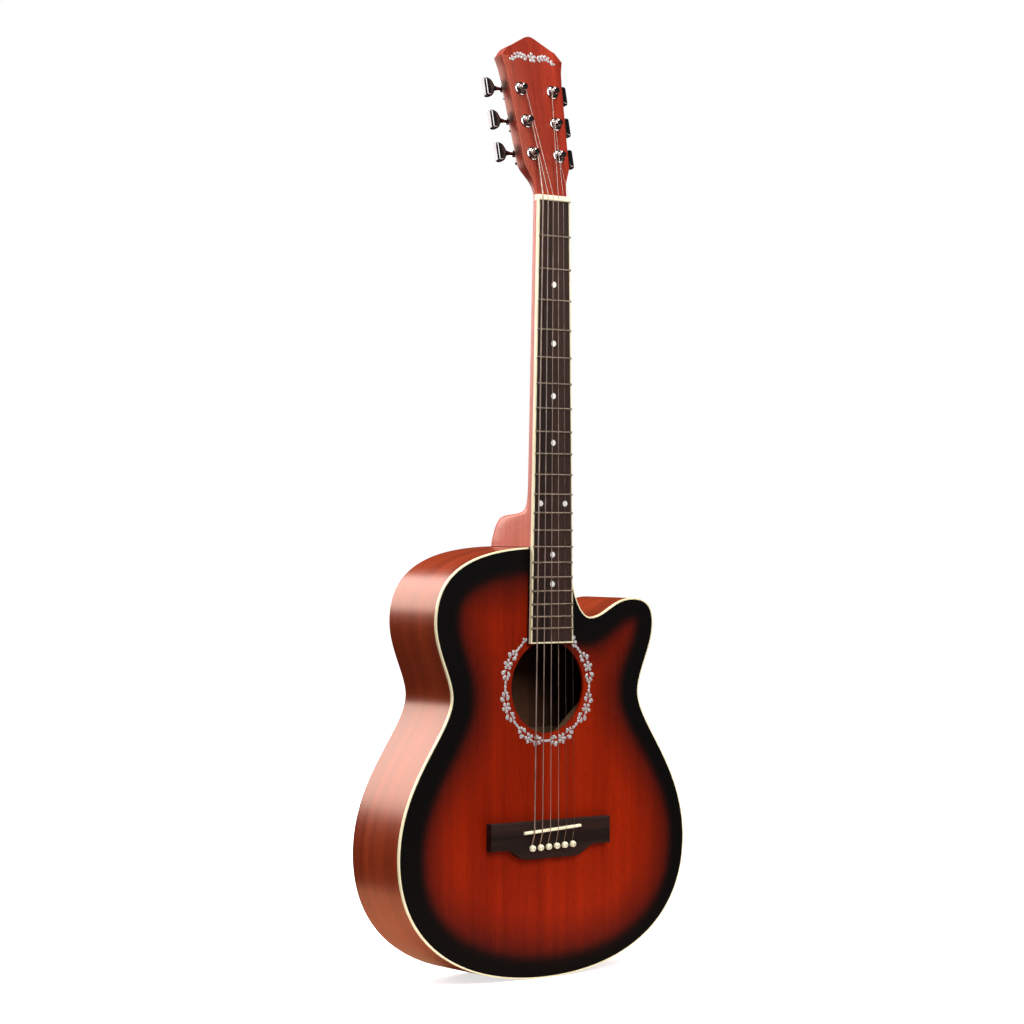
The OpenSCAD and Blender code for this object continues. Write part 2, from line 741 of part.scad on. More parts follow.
button_l = 20.6;
button_t = 7.6;
module button(i) {
    color("#3a3a3c") machine(i) translate([button_in, worm_t, gear_n]) difference() {
        translate([0, 0, -button_t / 2]) linear_extrude(button_t)
            polygon([for (a = [0 : 10 : 350]) let (c = cos(a), s = sin(a))
                [button_w / 2 * (1 + sign(c) * pow(abs(c), 0.7)),
                 button_l / 2 * sign(s) * pow(abs(s), 0.75) * (c < 0 ? 1 + 0.45 * c : 1)]]);
        translate([-1, 0, 0]) rotate([0, 90, 0]) cylinder(h = shaft_in + 1, r = shaft_r);
    }
}

soundboard();
rosette();
top_binding();
side_bass();
side_treble();
back();
top_linings();
back_linings();
neck_block();
tail_block();
x_brace_bass();
x_brace_treble();
transverse_brace();
tone_bars();
finger_braces();
back_braces();
back_strip();
bridge_plate();
bridge();
saddle();
bridge_pins();
neck();
headstock();
fretboard();
fretboard_binding();
frets();
position_dots();
nut();
truss_rod();
truss_rod_nut();
wound_strings();
plain_strings();
ball_ends();
tuner_housings();
tuner_bushings();
tuner_screws();
for (i = [0 : 5]) {
    post(i);
    gear(i);
    worm(i);
    button(i);
}
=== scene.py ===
import math
import bmesh
import bpy
import numpy as np
from mathutils import Matrix, Vector
from mathutils.geometry import delaunay_2d_cdt


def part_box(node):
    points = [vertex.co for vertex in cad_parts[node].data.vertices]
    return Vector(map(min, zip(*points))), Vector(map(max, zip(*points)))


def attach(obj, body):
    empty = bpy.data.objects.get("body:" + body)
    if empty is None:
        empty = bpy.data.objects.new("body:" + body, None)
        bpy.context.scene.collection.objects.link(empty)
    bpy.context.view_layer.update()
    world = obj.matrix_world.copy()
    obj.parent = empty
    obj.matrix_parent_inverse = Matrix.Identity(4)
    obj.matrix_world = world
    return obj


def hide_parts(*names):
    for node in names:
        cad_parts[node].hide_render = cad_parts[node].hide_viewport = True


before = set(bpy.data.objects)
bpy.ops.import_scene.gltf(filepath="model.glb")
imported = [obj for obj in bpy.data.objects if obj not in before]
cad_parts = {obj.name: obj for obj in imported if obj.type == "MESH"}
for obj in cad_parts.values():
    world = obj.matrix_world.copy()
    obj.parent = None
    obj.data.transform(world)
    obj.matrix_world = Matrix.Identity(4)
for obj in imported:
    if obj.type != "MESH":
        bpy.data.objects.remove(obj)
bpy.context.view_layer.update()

# The guitar's lengths are in millimetres, as in the CAD model. X runs to the treble side, Z up the
# neck, and Y is the depth behind the soundboard's face. place_body() turns them into the frame's metres.
# The camera, lights, floor and materials use the frame's metres.
MM = 0.001
FACE_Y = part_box("soundboard")[0][1]
X, Y, Z = 0, 1, 2
WHITE = (1, 1, 1)
BLACK = (0, 0, 0)


def place_body(p):
    p = np.asarray(p, dtype=float).reshape(-1, 3)
    return p * MM + np.array([0, FACE_Y, 0])


def ends(node, axis):
    """Both ends of a CAD node's box along one axis, in body millimetres."""
    origin = FACE_Y if axis == Y else 0
    return [(corner[axis] - origin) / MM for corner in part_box(node)]


# ---------- Driving sizes, from the frame ----------
BODY_LEN = ends("side_bass", Z)[1]
LOWER_HALF = ends("back", X)[1]
INNER_Y, BODY_D = ends("back", Y)
TOP_T = ends("soundboard", Y)[1]
BIND_W = ends("top_binding", X)[1] - ends("soundboard", X)[1]
SIDE_T = 2.2
HOLE_R = 47.5
HOLE_Z = 299
CUT_X = ends("side_treble", X)[0] + 29
NUT_Z, HEAD_Z = ends("nut", Z)
NUT_T = HEAD_Z - NUT_Z
NUT_W = ends("nut", X)[1] - ends("nut", X)[0]
BOARD_T = 7
BOARD_END_Z = ends("fretboard_binding", Z)[0]
BOARD_END_W = 2 * ends("fretboard_binding", X)[1]
BRIDGE_HALF = ends("bridge", X)[1]
BRIDGE_T = ends("bridge", Y)[1] - ends("bridge", Y)[0]
BRIDGE_TOP_Z = ends("bridge", Z)[1]
SADDLE_Z = BRIDGE_TOP_Z - 9.5
SADDLE_LEN = 74
SADDLE_RISE = 4
SADDLE_TOP = 12
HEAD_Y = -2
HEAD_T = 14
TILT = math.radians(13)

# The tuning machines: the first post from the nut, the pitch, and the shaft beside each post
POST_X = 17.4
POST_X_STEP = 1.8
POST_T = 44
POST_PITCH = 35
POST_R = 3
WORM_T = 5.0
GEAR_N = -HEAD_T - 4.4
STRING_R = [0.67, 0.53, 0.41, 0.33, 0.2, 0.15]
WOUND = 4


def place_head(p):
    """Headstock coordinates: x, t along the face from the nut, n out of the face."""
    p = np.asarray(p, dtype=float).reshape(-1, 3)
    x, t, n = p[:, 0], p[:, 1], p[:, 2]
    y = HEAD_Y + t * math.sin(TILT) - n * math.cos(TILT)
    z = HEAD_Z + t * math.cos(TILT) + n * math.sin(TILT)
    return place_body(np.stack([x, y, z], 1))


def board_half(z):
    share = (NUT_Z - z) / (NUT_Z - BOARD_END_Z)
    return (NUT_W + (BOARD_END_W - NUT_W) * share) / 2


# ---------- Camera, light and floor ----------
# The camera looks from the bass side, almost level, and it is rolled a little
CAMERA_PLACE = (-1.8548, -2.3238, 0.4662)
CAMERA_TURN = math.radians(39)
CAMERA_PITCH = math.radians(0.2)
CAMERA_ROLL = 0.0053
CAMERA_LENS = 100.7455
CAMERA_SHIFT = (-0.035742, 0.002148)

# Each light: its name, place, target, size, power in watts and colour
LIGHTS = [
    ("key", (-0.3, -2.7, 2.3), (0, 0, 0.4), (1.8, 1.8), 88, WHITE),
    ("side_panel", (-0.75, 1.25, 1.42), (0, 0, 1.42), (1.5, 1.7), 46, WHITE),
    ("front_panel", (1.6, -2.0, 1.15), (0, 0, 0.75), (0.8, 0.8), 11, (1, 0.85, 0.75)),
    ("top_panel", (-0.3, -0.2, 3.0), (0, 0, 0.5), (1.8, 1.8), 115, WHITE),
]
ROOM = 0.18
ROOM_IN_GLOSS = 0.03


def make_camera():
    level = Vector((math.cos(CAMERA_TURN), -math.sin(CAMERA_TURN), 0))
    forward = Vector((math.sin(CAMERA_TURN), math.cos(CAMERA_TURN), 0))
    ahead = forward * math.cos(CAMERA_PITCH) + Vector((0, 0, math.sin(CAMERA_PITCH)))
    upright = level.cross(ahead)
    right = level * math.cos(CAMERA_ROLL) + upright * math.sin(CAMERA_ROLL)
    up = upright * math.cos(CAMERA_ROLL) - level * math.sin(CAMERA_ROLL)
    data = bpy.data.cameras.new("camera")
    data.sensor_width = 36
    data.lens = CAMERA_LENS
    data.shift_x, data.shift_y = CAMERA_SHIFT
    cam = bpy.data.objects.new("camera", data)
    bpy.context.collection.objects.link(cam)
    turned = Matrix((right, up, -ahead)).transposed().to_4x4()
    turned.translation = Vector(CAMERA_PLACE)
    cam.matrix_world = turned
    bpy.context.scene.camera = cam


def area_light(name, place, target, size, power, colour):
    data = bpy.data.lights.new(name, "AREA")
    data.shape = "RECTANGLE"
    data.size, data.size_y = size
    data.energy = power
    data.color = colour
    lamp = bpy.data.objects.new(name, data)
    lamp.location = place
    lamp.rotation_euler = (Vector(target) - Vector(place)).to_track_quat("-Z", "Y").to_euler()
    lamp.visible_camera = False
    bpy.context.collection.objects.link(lamp)


def make_light():
    world = bpy.data.worlds.new("studio")
    world.use_nodes = True
    tree = world.node_tree
    tree.nodes.clear()
    out = add_node(tree, "OutputWorld")
    mix = add_node(tree, "MixShader")
    path = add_node(tree, "LightPath")
    room = add_node(tree, "Background")
    room.inputs["Color"].default_value = (1, 1, 1, 1)
    # A dark room in reflections, so that the dark wood stays clear
    dimmer = add_math(tree, "MULTIPLY", path.outputs["Is Glossy Ray"], ROOM - ROOM_IN_GLOSS)
    tree.links.new(add_math(tree, "SUBTRACT", ROOM, dimmer), room.inputs["Strength"])
    seen = add_node(tree, "Background")
    seen.inputs["Color"].default_value = (1, 1, 1, 1)
    seen.inputs["Strength"].default_value = 1.0
    tree.links.new(path.outputs["Is Camera Ray"], mix.inputs["Fac"])
    tree.links.new(room.outputs[0], mix.inputs[1])
    tree.links.new(seen.outputs[0], mix.inputs[2])
    tree.links.new(mix.outputs[0], out.inputs["Surface"])
    bpy.context.scene.world = world
    for light in LIGHTS:
        area_light(*light)


def make_floor():
    mat, tree, shader = new_material("floor_paper")
    noise = add_noise(tree, object_coords(tree), (3, 3, 3), 4)
    ramp = add_ramp(tree, noise, [(0.3, (0.88, 0.88, 0.88)), (0.7, (0.92, 0.92, 0.92))])
    # Seen in the lacquer, the paper is dimmer and takes the wood's own colour
    path = add_node(tree, "LightPath")
    paper = add_mix(tree, path.outputs["Is Glossy Ray"], ramp, (0.6, 0.31, 0.17))
    tree.links.new(paper, shader.inputs["Base Color"])
    shader.inputs["Roughness"].default_value = 0.9
    shader.inputs["Specular IOR Level"].default_value = 0.1
    shader.inputs["Emission Color"].default_value = (1, 1, 1, 1)
    # The paper glows away from the guitar, and a little under it where the camera looks
    reach = add_node(tree, "VectorMath")
    reach.operation = "LENGTH"
    tree.links.new(object_coords(tree), reach.inputs[0])
    glow = add_ramp(tree, reach.outputs["Value"], [(0.28, BLACK), (0.75, WHITE)])
    lift = add_math(tree, "MULTIPLY", path.outputs["Is Camera Ray"], 0.7)
    tree.links.new(add_math(tree, "MAXIMUM", glow, lift), shader.inputs["Emission Strength"])
    # Only the paper close to the guitar throws light back on it
    corners = ((-1, -1), (1, -1), (1, 1), (-1, 1))
    inner, outer = ([(x * reach, y * reach, 0) for x, y in corners] for reach in (0.3, 30))
    ring = [(k, (k + 1) % 4, 4 + (k + 1) % 4, 4 + k) for k in range(4)]
    for name, points, faces in (("floor_near", inner, [(0, 1, 2, 3)]), ("floor_far", outer + inner, ring)):
        mesh = bpy.data.meshes.new(name)
        mesh.from_pydata(points, [], faces)
        mesh.materials.append(mat)
        floor = bpy.data.objects.new(name, mesh)
        bpy.context.collection.objects.link(floor)
        floor.visible_glossy = name == "floor_near"
        floor.visible_diffuse = name == "floor_near"


# ---------- Materials ----------
def srgb(r, g, b):
    return tuple((c / 255 / 12.92) if c / 255 <= 0.04045 else ((c / 255 + 0.055) / 1.055) ** 2.4
                 for c in (r, g, b))


def new_material(name):
    mat = bpy.data.materials.new(name)
    mat.use_nodes = True
    tree = mat.node_tree
    tree.nodes.clear()
    out = add_node(tree, "OutputMaterial")
    shader = add_node(tree, "BsdfPrincipled")
    tree.links.new(shader.outputs[0], out.inputs["Surface"])
    return mat, tree, shader


def object_coords(tree):
    return add_node(tree, "TexCoord").outputs["Object"]


def grain_coords(tree):
    node = add_node(tree, "Attribute")
    node.attribute_name = "grain"
    return node.outputs["Vector"]


def add_noise(tree, coords, scale, detail=3, rough=0.55, distortion=0.0):
    mapping = add_node(tree, "Mapping")
    mapping.inputs["Scale"].default_value = scale
    noise = add_node(tree, "TexNoise")
    noise.inputs["Scale"].default_value = 1
    noise.inputs["Detail"].default_value = detail
    noise.inputs["Roughness"].default_value = rough
    noise.inputs["Distortion"].default_value = distortion
    tree.links.new(coords, mapping.inputs["Vector"])
    tree.links.new(mapping.outputs[0], noise.inputs["Vector"])
    return noise.outputs["Fac"]


def add_ramp(tree, value, stops):
    node = add_node(tree, "ValToRGB")
    while len(node.color_ramp.elements) < len(stops):
        node.color_ramp.elements.new(0.5)
    for element, (place, colour) in zip(node.color_ramp.elements, stops):
        element.position = place
        element.color = (*colour, 1)
    tree.links.new(value, node.inputs["Fac"])
    return node.outputs["Color"]


def add_node(tree, kind):
    return tree.nodes.new("ShaderNode" + kind)


def feed(tree, socket, value):
    """Sets a socket to a number or a colour, or links another socket to it."""
    if isinstance(value, (int, float)):
        socket.default_value = value
    elif isinstance(value, tuple):
        socket.default_value = (*value, 1)
    else:
        tree.links.new(value, socket)


def add_math(tree, operation, a, b):
    node = add_node(tree, "Math")
    node.operation = operation
    feed(tree, node.inputs[0], a)
    feed(tree, node.inputs[1], b)
    return node.outputs[0]


def add_mix(tree, factor, a, b, blend="MIX"):
    node = add_node(tree, "Mix")
    node.data_type = "RGBA"
    node.blend_type = blend
    feed(tree, node.inputs[0], factor)
    feed(tree, node.inputs[6], a)
    feed(tree, node.inputs[7], b)
    return node.outputs[2]


def finish(tree, shader, colour, rough, relief):
    """Links colour, roughness as (value, low, high), and relief as (height, strength, distance)."""
    tree.links.new(colour, shader.inputs["Base Color"])
    spread = add_node(tree, "MapRange")
    value, spread.inputs["To Min"].default_value, spread.inputs["To Max"].default_value = rough
    tree.links.new(value, spread.inputs["Value"])
    tree.links.new(spread.outputs[0], shader.inputs["Roughness"])
    bump = add_node(tree, "Bump")
    height, bump.inputs["Strength"].default_value, bump.inputs["Distance"].default_value = relief
    tree.links.new(height, bump.inputs["Height"])
    tree.links.new(bump.outputs[0], shader.inputs["Normal"])


def painted_shaft_shadow(tree, where):
    """Painted shadow and reflection of each tuner's shaft on the headstock's edge, level with the shaft."""
    split = add_node(tree, "SeparateXYZ")
    tree.links.new(where, split.inputs[0])
    across, depth, along = split.outputs
    pitch = POST_PITCH * MM
    lap = add_node(tree, "Math")
    lap.operation = "WRAP"
    first = (POST_T + WORM_T) * MM - pitch / 2
    tree.links.new(add_math(tree, "SUBTRACT", along, first), lap.inputs[0])
    lap.inputs[1].default_value = pitch
    lap.inputs[2].default_value = 0
    off_t = add_math(tree, "SUBTRACT", lap.outputs[0], pitch / 2)
    off_y = add_math(tree, "SUBTRACT", depth, 0.0085)
    square = add_math(tree, "ADD", add_math(tree, "MULTIPLY", off_t, off_t),
                      add_math(tree, "MULTIPLY", off_y, off_y))
    near = add_ramp(tree, add_math(tree, "SQRT", square, 0), [(0.003, (0.97,) * 3), (0.0085, BLACK)])
    edge = add_ramp(tree, add_math(tree, "ABSOLUTE", across, 0), [(0.0265, BLACK), (0.0285, WHITE)])
    span = add_ramp(tree, along, [(0.03, BLACK), (0.034, WHITE), (0.13, WHITE), (0.134, BLACK)])
    return add_math(tree, "MULTIPLY", near, add_math(tree, "MULTIPLY", edge, span))


def wood(name, dark, light, coords=grain_coords, rough=(0.3, 0.42), contrast=1.0, burst=False, pore=0.35,
         gloss=0.5, sheen=WHITE, shaft_shadows=False):
    """Straight-grained wood whose fibres run along the coordinates' Z."""
    mat, tree, shader = new_material(name)
    where = coords(tree)
    bands = add_noise(tree, where, (60, 60, 1.4), 3, 0.6)
    ribbons = add_noise(tree, where, (16, 16, 2.2), 2, 0.5)
    fibres = add_noise(tree, where, (900, 900, 14), 4, 0.6)
    pores = add_noise(tree, where, (2600, 2600, 120), 2, 0.5)
    mixed = add_math(tree, "ADD", add_math(tree, "MULTIPLY", bands, 0.5 * contrast),
                     add_math(tree, "MULTIPLY", fibres, 0.3 * contrast))
    mixed = add_math(tree, "ADD", mixed, add_math(tree, "MULTIPLY", ribbons, 0.3 * contrast))
    middle = 0.55 * contrast
    colour = add_ramp(tree, mixed, [(middle - 0.14, dark), (middle + 0.14, light)])
    pits = add_ramp(tree, pores, [(0.34, (1 - pore,) * 3), (0.44, WHITE)])
    colour = add_mix(tree, 1.0, colour, pits, "MULTIPLY")
    if burst:
        edge = add_node(tree, "Attribute")
        edge.attribute_name = "burst"
        colour = add_mix(tree, edge.outputs["Fac"], colour, srgb(9, 8, 8))
    if shaft_shadows:
        # Painted shade: a dark patch stands for the shadow and reflection of each tuner's shaft
        colour = add_mix(tree, painted_shaft_shadow(tree, where), colour, srgb(34, 6, 4))
    height = add_math(tree, "ADD", add_math(tree, "MULTIPLY", fibres, 0.5), pores)
    finish(tree, shader, colour, (bands, *rough), (height, 0.12, 0.0001))
    shader.inputs["Specular Tint"].default_value = (*sheen, 1)
    shader.inputs["Specular IOR Level"].default_value = gloss
    return mat


def plastic(name, colour, shade, rough=0.35):
    mat, tree, shader = new_material(name)
    where = object_coords(tree)
    cloud = add_noise(tree, where, (120, 120, 40), 3)
    grit = add_noise(tree, where, (3000, 3000, 3000), 2)
    mottled = add_ramp(tree, cloud, [(0.3, shade), (0.7, colour)])
    finish(tree, shader, mottled, (grit, rough - 0.08, rough + 0.1), (grit, 0.06, 0.00005))
    return mat


# Height of the cream strip's lower edge above the soundboard
STRIP_FOOT = 3.3


def board_edge(name, cream, cream_shade, dark, red):
    """Cream strip on the upper part of the fretboard's edge; below it, painted shadow of a gap over the
    body, and the neck's red wood above the joint.
    """
    mat, tree, shader = new_material(name)
    where = object_coords(tree)
    split = add_node(tree, "SeparateXYZ")
    tree.links.new(where, split.inputs[0])
    cloud = add_noise(tree, where, (120, 120, 40), 3)
    fibres = add_noise(tree, where, (900, 900, 14), 3)
    strip = add_ramp(tree, cloud, [(0.3, cream_shade), (0.7, cream)])
    # Painted shadow: over the body the edge below the strip is near black, standing for a gap under the
    # board
    gap_shadow = add_ramp(tree, fibres, [(0.3, dark), (0.7, tuple(2.5 * c for c in dark))])
    on_neck = add_ramp(tree, fibres, [(0.3, tuple(0.7 * c for c in red)), (0.7, red)])
    above_joint = add_math(tree, "GREATER_THAN", split.outputs[2], BODY_LEN * MM)
    below_strip = add_math(tree, "GREATER_THAN", split.outputs[1], FACE_Y - STRIP_FOOT * MM)
    colour = add_mix(tree, below_strip, strip, add_mix(tree, above_joint, gap_shadow, on_neck))
    finish(tree, shader, colour, (fibres, 0.32, 0.48), (fibres, 0.05, 0.00005))
    return mat


def metal(name, colour, rough, brushed=(800, 800, 800)):
    mat, tree, shader = new_material(name)
    where = object_coords(tree)
    lines = add_noise(tree, where, brushed, 3)
    smudge = add_noise(tree, where, (140, 140, 140), 3)
    dim = tuple(c * 0.8 for c in colour)
    smudged = add_ramp(tree, smudge, [(0.3, dim), (0.65, colour)])
    finish(tree, shader, smudged, (lines, rough * 0.6, rough * 1.5), (lines, 0.04, 0.00003))
    shader.inputs["Metallic"].default_value = 1
    return mat


def winding_metal(name, colour):
    """Metal with the fine ridges of a wound string, which run round its length."""
    mat, tree, shader = new_material(name)
    where = object_coords(tree)
    wave = add_node(tree, "TexWave")
    wave.bands_direction = "Z"
    wave.inputs["Scale"].default_value = 620
    tree.links.new(where, wave.inputs["Vector"])
    smudge = add_noise(tree, where, (500, 500, 60), 3)
    dim = tuple(c * 0.55 for c in colour)
    smudged = add_ramp(tree, smudge, [(0.3, dim), (0.7, colour)])
    finish(tree, shader, smudged, (smudge, 0.32, 0.5), (wave.outputs["Fac"], 0.3, 0.00006))
    shader.inputs["Metallic"].default_value = 0.75
    return mat


def inlay(name, colour, shade):
    mat, tree, shader = new_material(name)
    where = object_coords(tree)
    flecks = add_noise(tree, where, (500, 500, 500), 4, 0.65, 0.6)
    flecked = add_ramp(tree, flecks, [(0.35, shade), (0.6, colour)])
    finish(tree, shader, flecked, (flecks, 0.2, 0.4), (flecks, 0.1, 0.00005))
    shader.inputs["Metallic"].default_value = 0.25
    return mat


make_camera()
make_light()
make_floor()

LACQUER = {"gloss": 0.7, "sheen": (1.0, 0.58, 0.4)}
BARE = {"rough": (0.6, 0.8), "gloss": 0.2}
OILED = {"rough": (0.4, 0.55), "pore": 0.5, "gloss": 0.22, "contrast": 1.2}
CREAM_LIGHT, CREAM_SHADE = srgb(238, 226, 190), srgb(222, 206, 166)

TOP_WOOD = wood("top_mahogany", srgb(106, 18, 1), srgb(150, 32, 2), burst=True, rough=(0.42, 0.52),
                gloss=0.05, contrast=0.8)
SIDE_WOOD = wood("side_mahogany", srgb(98, 26, 3), srgb(146, 50, 14), rough=(0.26, 0.34),
                 **{**LACQUER, "gloss": 1.0})
# Painted light: the neck's mahogany is coloured lighter than the sides' to stand for its lit side and heel
NECK_WOOD_LIT = wood("neck_mahogany_lit", srgb(156, 62, 44), srgb(200, 98, 78), rough=(0.32, 0.42), **LACQUER)
# The headstock's wood carries a painted shadow and reflection beside each tuner's shaft
HEAD_WOOD = wood("head_mahogany", srgb(106, 21, 10), srgb(164, 46, 27), rough=(0.33, 0.42), contrast=1.2,
                 pore=0.5, shaft_shadows=True, **LACQUER)
BARE_WOOD = wood("bare_mahogany", srgb(60, 36, 22), srgb(92, 58, 36), **BARE)
# Painted shade: the spruce inside the body is coloured far darker than spruce is
SHADED_SPRUCE = wood("shaded_spruce", srgb(76, 55, 35), srgb(100, 74, 49), object_coords, pore=0.1, **BARE)
BLOCK_WOOD = wood("block_mahogany", srgb(96, 60, 38), srgb(130, 86, 58), object_coords, **BARE)
ROSEWOOD = wood("rosewood", srgb(14, 7, 6), srgb(64, 40, 32), object_coords, **OILED)
BRIDGE_WOOD = wood("bridge_rosewood", srgb(10, 5, 4), srgb(46, 27, 22), **OILED)
CREAM = plastic("cream_plastic", CREAM_LIGHT, CREAM_SHADE)
BOARD_EDGE = board_edge("board_edge", CREAM_LIGHT, CREAM_SHADE, srgb(16, 6, 5), srgb(196, 88, 70))
BONE = plastic("bone", srgb(240, 230, 200), srgb(228, 214, 178), 0.3)
PEARL = inlay("pearl", srgb(246, 245, 243), srgb(214, 212, 212))
SILVER_INLAY = inlay("silver_inlay", srgb(198, 195, 195), srgb(140, 137, 137))
FRET_METAL = metal("fret_metal", srgb(176, 164, 150), 0.3, (300, 3000, 3000))
STEEL = metal("steel", srgb(176, 176, 178), 0.3)
BRASS = metal("brass", srgb(206, 170, 104), 0.3)
CHROME = metal("chrome", srgb(178, 176, 178), 0.12)
SMOKY_CHROME = metal("smoky_chrome", srgb(116, 112, 112), 0.16)
BRONZE_STRING = winding_metal("bronze_string", srgb(204, 178, 166))
STEEL_STRING = metal("steel_string", srgb(196, 186, 182), 0.3, (3000, 3000, 100))


# ---------- Mesh tools ----------
class Shape:
    """Points and faces of one piece, gathered part by part."""

    def __init__(self):
        self.points = []
        self.faces = []
        self.indices = []
        self.grain = []

    def add(self, points, faces, index=0, grain=None):
        start = len(self.points)
        points = np.asarray(points, dtype=float).reshape(-1, 3)
        self.points.extend(points.tolist())
        self.grain.extend((points if grain is None else np.asarray(grain)).tolist())
        self.faces.extend([[start + i for i in f] for f in faces])
        self.indices.extend([index] * len(faces))

    def make(self, name, mats, slot, body="root", replaces=None, angle=35, burst=None):
        """Makes the piece, rides it on its body, and hides the CAD node it stands for."""
        mesh = bpy.data.meshes.new(name)
        mesh.from_pydata(self.points, [], [[int(i) for i in f] for f in self.faces])
        layer = mesh.attributes.new("grain", "FLOAT_VECTOR", "POINT")
        layer.data.foreach_set("vector", np.asarray(self.grain, dtype=np.float32).ravel())
        if burst is not None:
            layer = mesh.attributes.new("burst", "FLOAT", "POINT")
            layer.data.foreach_set("value", np.asarray(burst, dtype=np.float32))
        for mat in mats if isinstance(mats, list) else [mats]:
            mesh.materials.append(mat)
        mesh.polygons.foreach_set("material_index", np.asarray(self.indices, dtype=np.int32))
        work = bmesh.new()
        work.from_mesh(mesh)
        bmesh.ops.recalc_face_normals(work, faces=work.faces)
        work.to_mesh(mesh)
        work.free()
        mesh.shade_smooth()
        mesh.set_sharp_from_angle(angle=math.radians(angle))
        piece = bpy.data.objects.new(name, mesh)
        bpy.context.collection.objects.link(piece)
        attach(piece, body)
        if replaces:
            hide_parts(replaces)


def grid_faces(rows, columns, wrap_rows=False, wrap_columns=True, caps=True):
    faces = []
    for i in range(rows if wrap_rows else rows - 1):
        for j in range(columns if wrap_columns else columns - 1):
            a, b = i * columns + j, i * columns + (j + 1) % columns
            c, d = ((i + 1) % rows) * columns + (j + 1) % columns, ((i + 1) % rows) * columns + j
            faces.append([a, b, c, d])
    if caps and not wrap_rows:
        faces.append(list(range(columns))[::-1])
        faces.append([(rows - 1) * columns + j for j in range(columns)])
    return faces


def inside(points, loop):
    """True for each point that lies inside a closed loop."""
    x, z = points[:, 0][:, None], points[:, 1][:, None]
    ax, az = loop[:, 0][None], loop[:, 1][None]
    bx, bz = np.roll(loop[:, 0], -1)[None], np.roll(loop[:, 1], -1)[None]
    crosses = ((az > z) != (bz > z)) & (x < (bx - ax) * (z - az) / (bz - az + 1e-12) + ax)
    return crosses.sum(1) % 2 == 1


def distance_to(points, loop):
    """Distance from each point to a closed loop."""
    a, b = loop, np.roll(loop, -1, axis=0)
    ab = b - a
    best = np.full(len(points), 1e9)
    for start, span in zip(a, ab):
        t = np.clip(((points - start) @ span) / max(span @ span, 1e-12), 0, 1)
        best = np.minimum(best, np.linalg.norm(points - (start + t[:, None] * span), axis=1))
    return best


def fill(outer, holes, spacing):
    """Triangles between an outer loop and its holes, on an even grid of inner points."""
    loops = [outer, *holes]
    points = np.concatenate(loops)
    edges, start = [], 0
    for loop in loops:
        n = len(loop)
        edges += [(start + i, start + (i + 1) % n) for i in range(n)]
        start += n
    if spacing:
        low, high = outer.min(0), outer.max(0)
        xs = np.arange(low[0] + spacing / 2, high[0], spacing)
        zs = np.arange(low[1] + spacing / 2, high[1], spacing)
        grid = np.array([(x + (k % 2) * spacing / 2, z) for k, z in enumerate(zs) for x in xs])
        keep = inside(grid, outer) & (distance_to(grid, outer) > spacing * 0.45)
        for hole in holes:
            keep &= ~inside(grid, hole) & (distance_to(grid, hole) > spacing * 0.45)
        points = np.concatenate([points, grid[keep]])
    made = delaunay_2d_cdt([Vector(p) for p in points], edges, [], 0, 1e-6)
    source = [origin[0] if origin else -1 for origin in made[3]]
    triangles = np.array([[source[i] for i in f] for f in made[2]])
    triangles = triangles[(triangles >= 0).all(1)]
    centres = points[triangles].mean(1)
    keep = inside(centres, outer)
    for hole in holes:
        keep &= ~inside(centres, hole)
    return points, triangles[keep]


def arc_profile(y0, y1, r0, r1, steps=5):
    """Inset and depth down the edge of a plate whose two rims are rounded."""
    turns = [math.pi / 2 * k / steps for k in range(steps + 1)]
    front = [(r0 * (1 - math.sin(a)), y0 + r0 * (1 - math.cos(a))) for a in turns] if r0 else [(0, y0)]
    back = [(r1 * (1 - math.cos(a)), y1 - r1 * (1 - math.sin(a))) for a in turns] if r1 else [(0, y1)]
    return front + back


def plate(shape, ring, holes, y0, y1, r0=0.0, r1=0.0, spacing=None, place=place_body, back_index=0, steps=5):
    """A plate with rounded rims: ring(d) is its outline inset by d, in two coordinates."""
    profile = arc_profile(y0, y1, r0, r1, steps)
    front_points, front_faces = fill(ring(profile[0][0]), holes, spacing)
    back_points, back_faces = fill(ring(profile[-1][0]), holes, spacing)
    n = len(ring(0))

    def put(flat, y):
        return np.stack([flat[:, 0], np.full(len(flat), y), flat[:, 1]], 1)

    rings = np.concatenate([put(ring(d), y) for d, y in profile])
    shape.add(place(rings), grid_faces(len(profile), n, caps=False))
    base = len(shape.points) - len(rings)
    # The flat faces share the rim's own points
    last = base + (len(profile) - 1) * n
    starts = []
    for points, faces, y, rim, index in ((front_points, front_faces, y0, base, 0),
                                         (back_points, back_faces, y1, last, back_index)):
        extra = place(put(points[n:], y)) if len(points) > n else np.zeros((0, 3))
        start = len(shape.points)
        starts.append(start)
        shape.points.extend(extra.tolist())
        shape.grain.extend(extra.tolist())
        shape.faces.extend([[rim + i if i < n else start + i - n for i in f] for f in faces])
        shape.indices.extend([index] * len(faces))
    # Each hole's wall joins its two rims, which come first among the added points
    front, back = starts
    for hole in holes:
        m = len(hole)
        for k in range(m):
            j = (k + 1) % m
            shape.faces.append([front + k, front + j, back + j, back + k])
            shape.indices.append(0)
        front, back = front + m, back + m


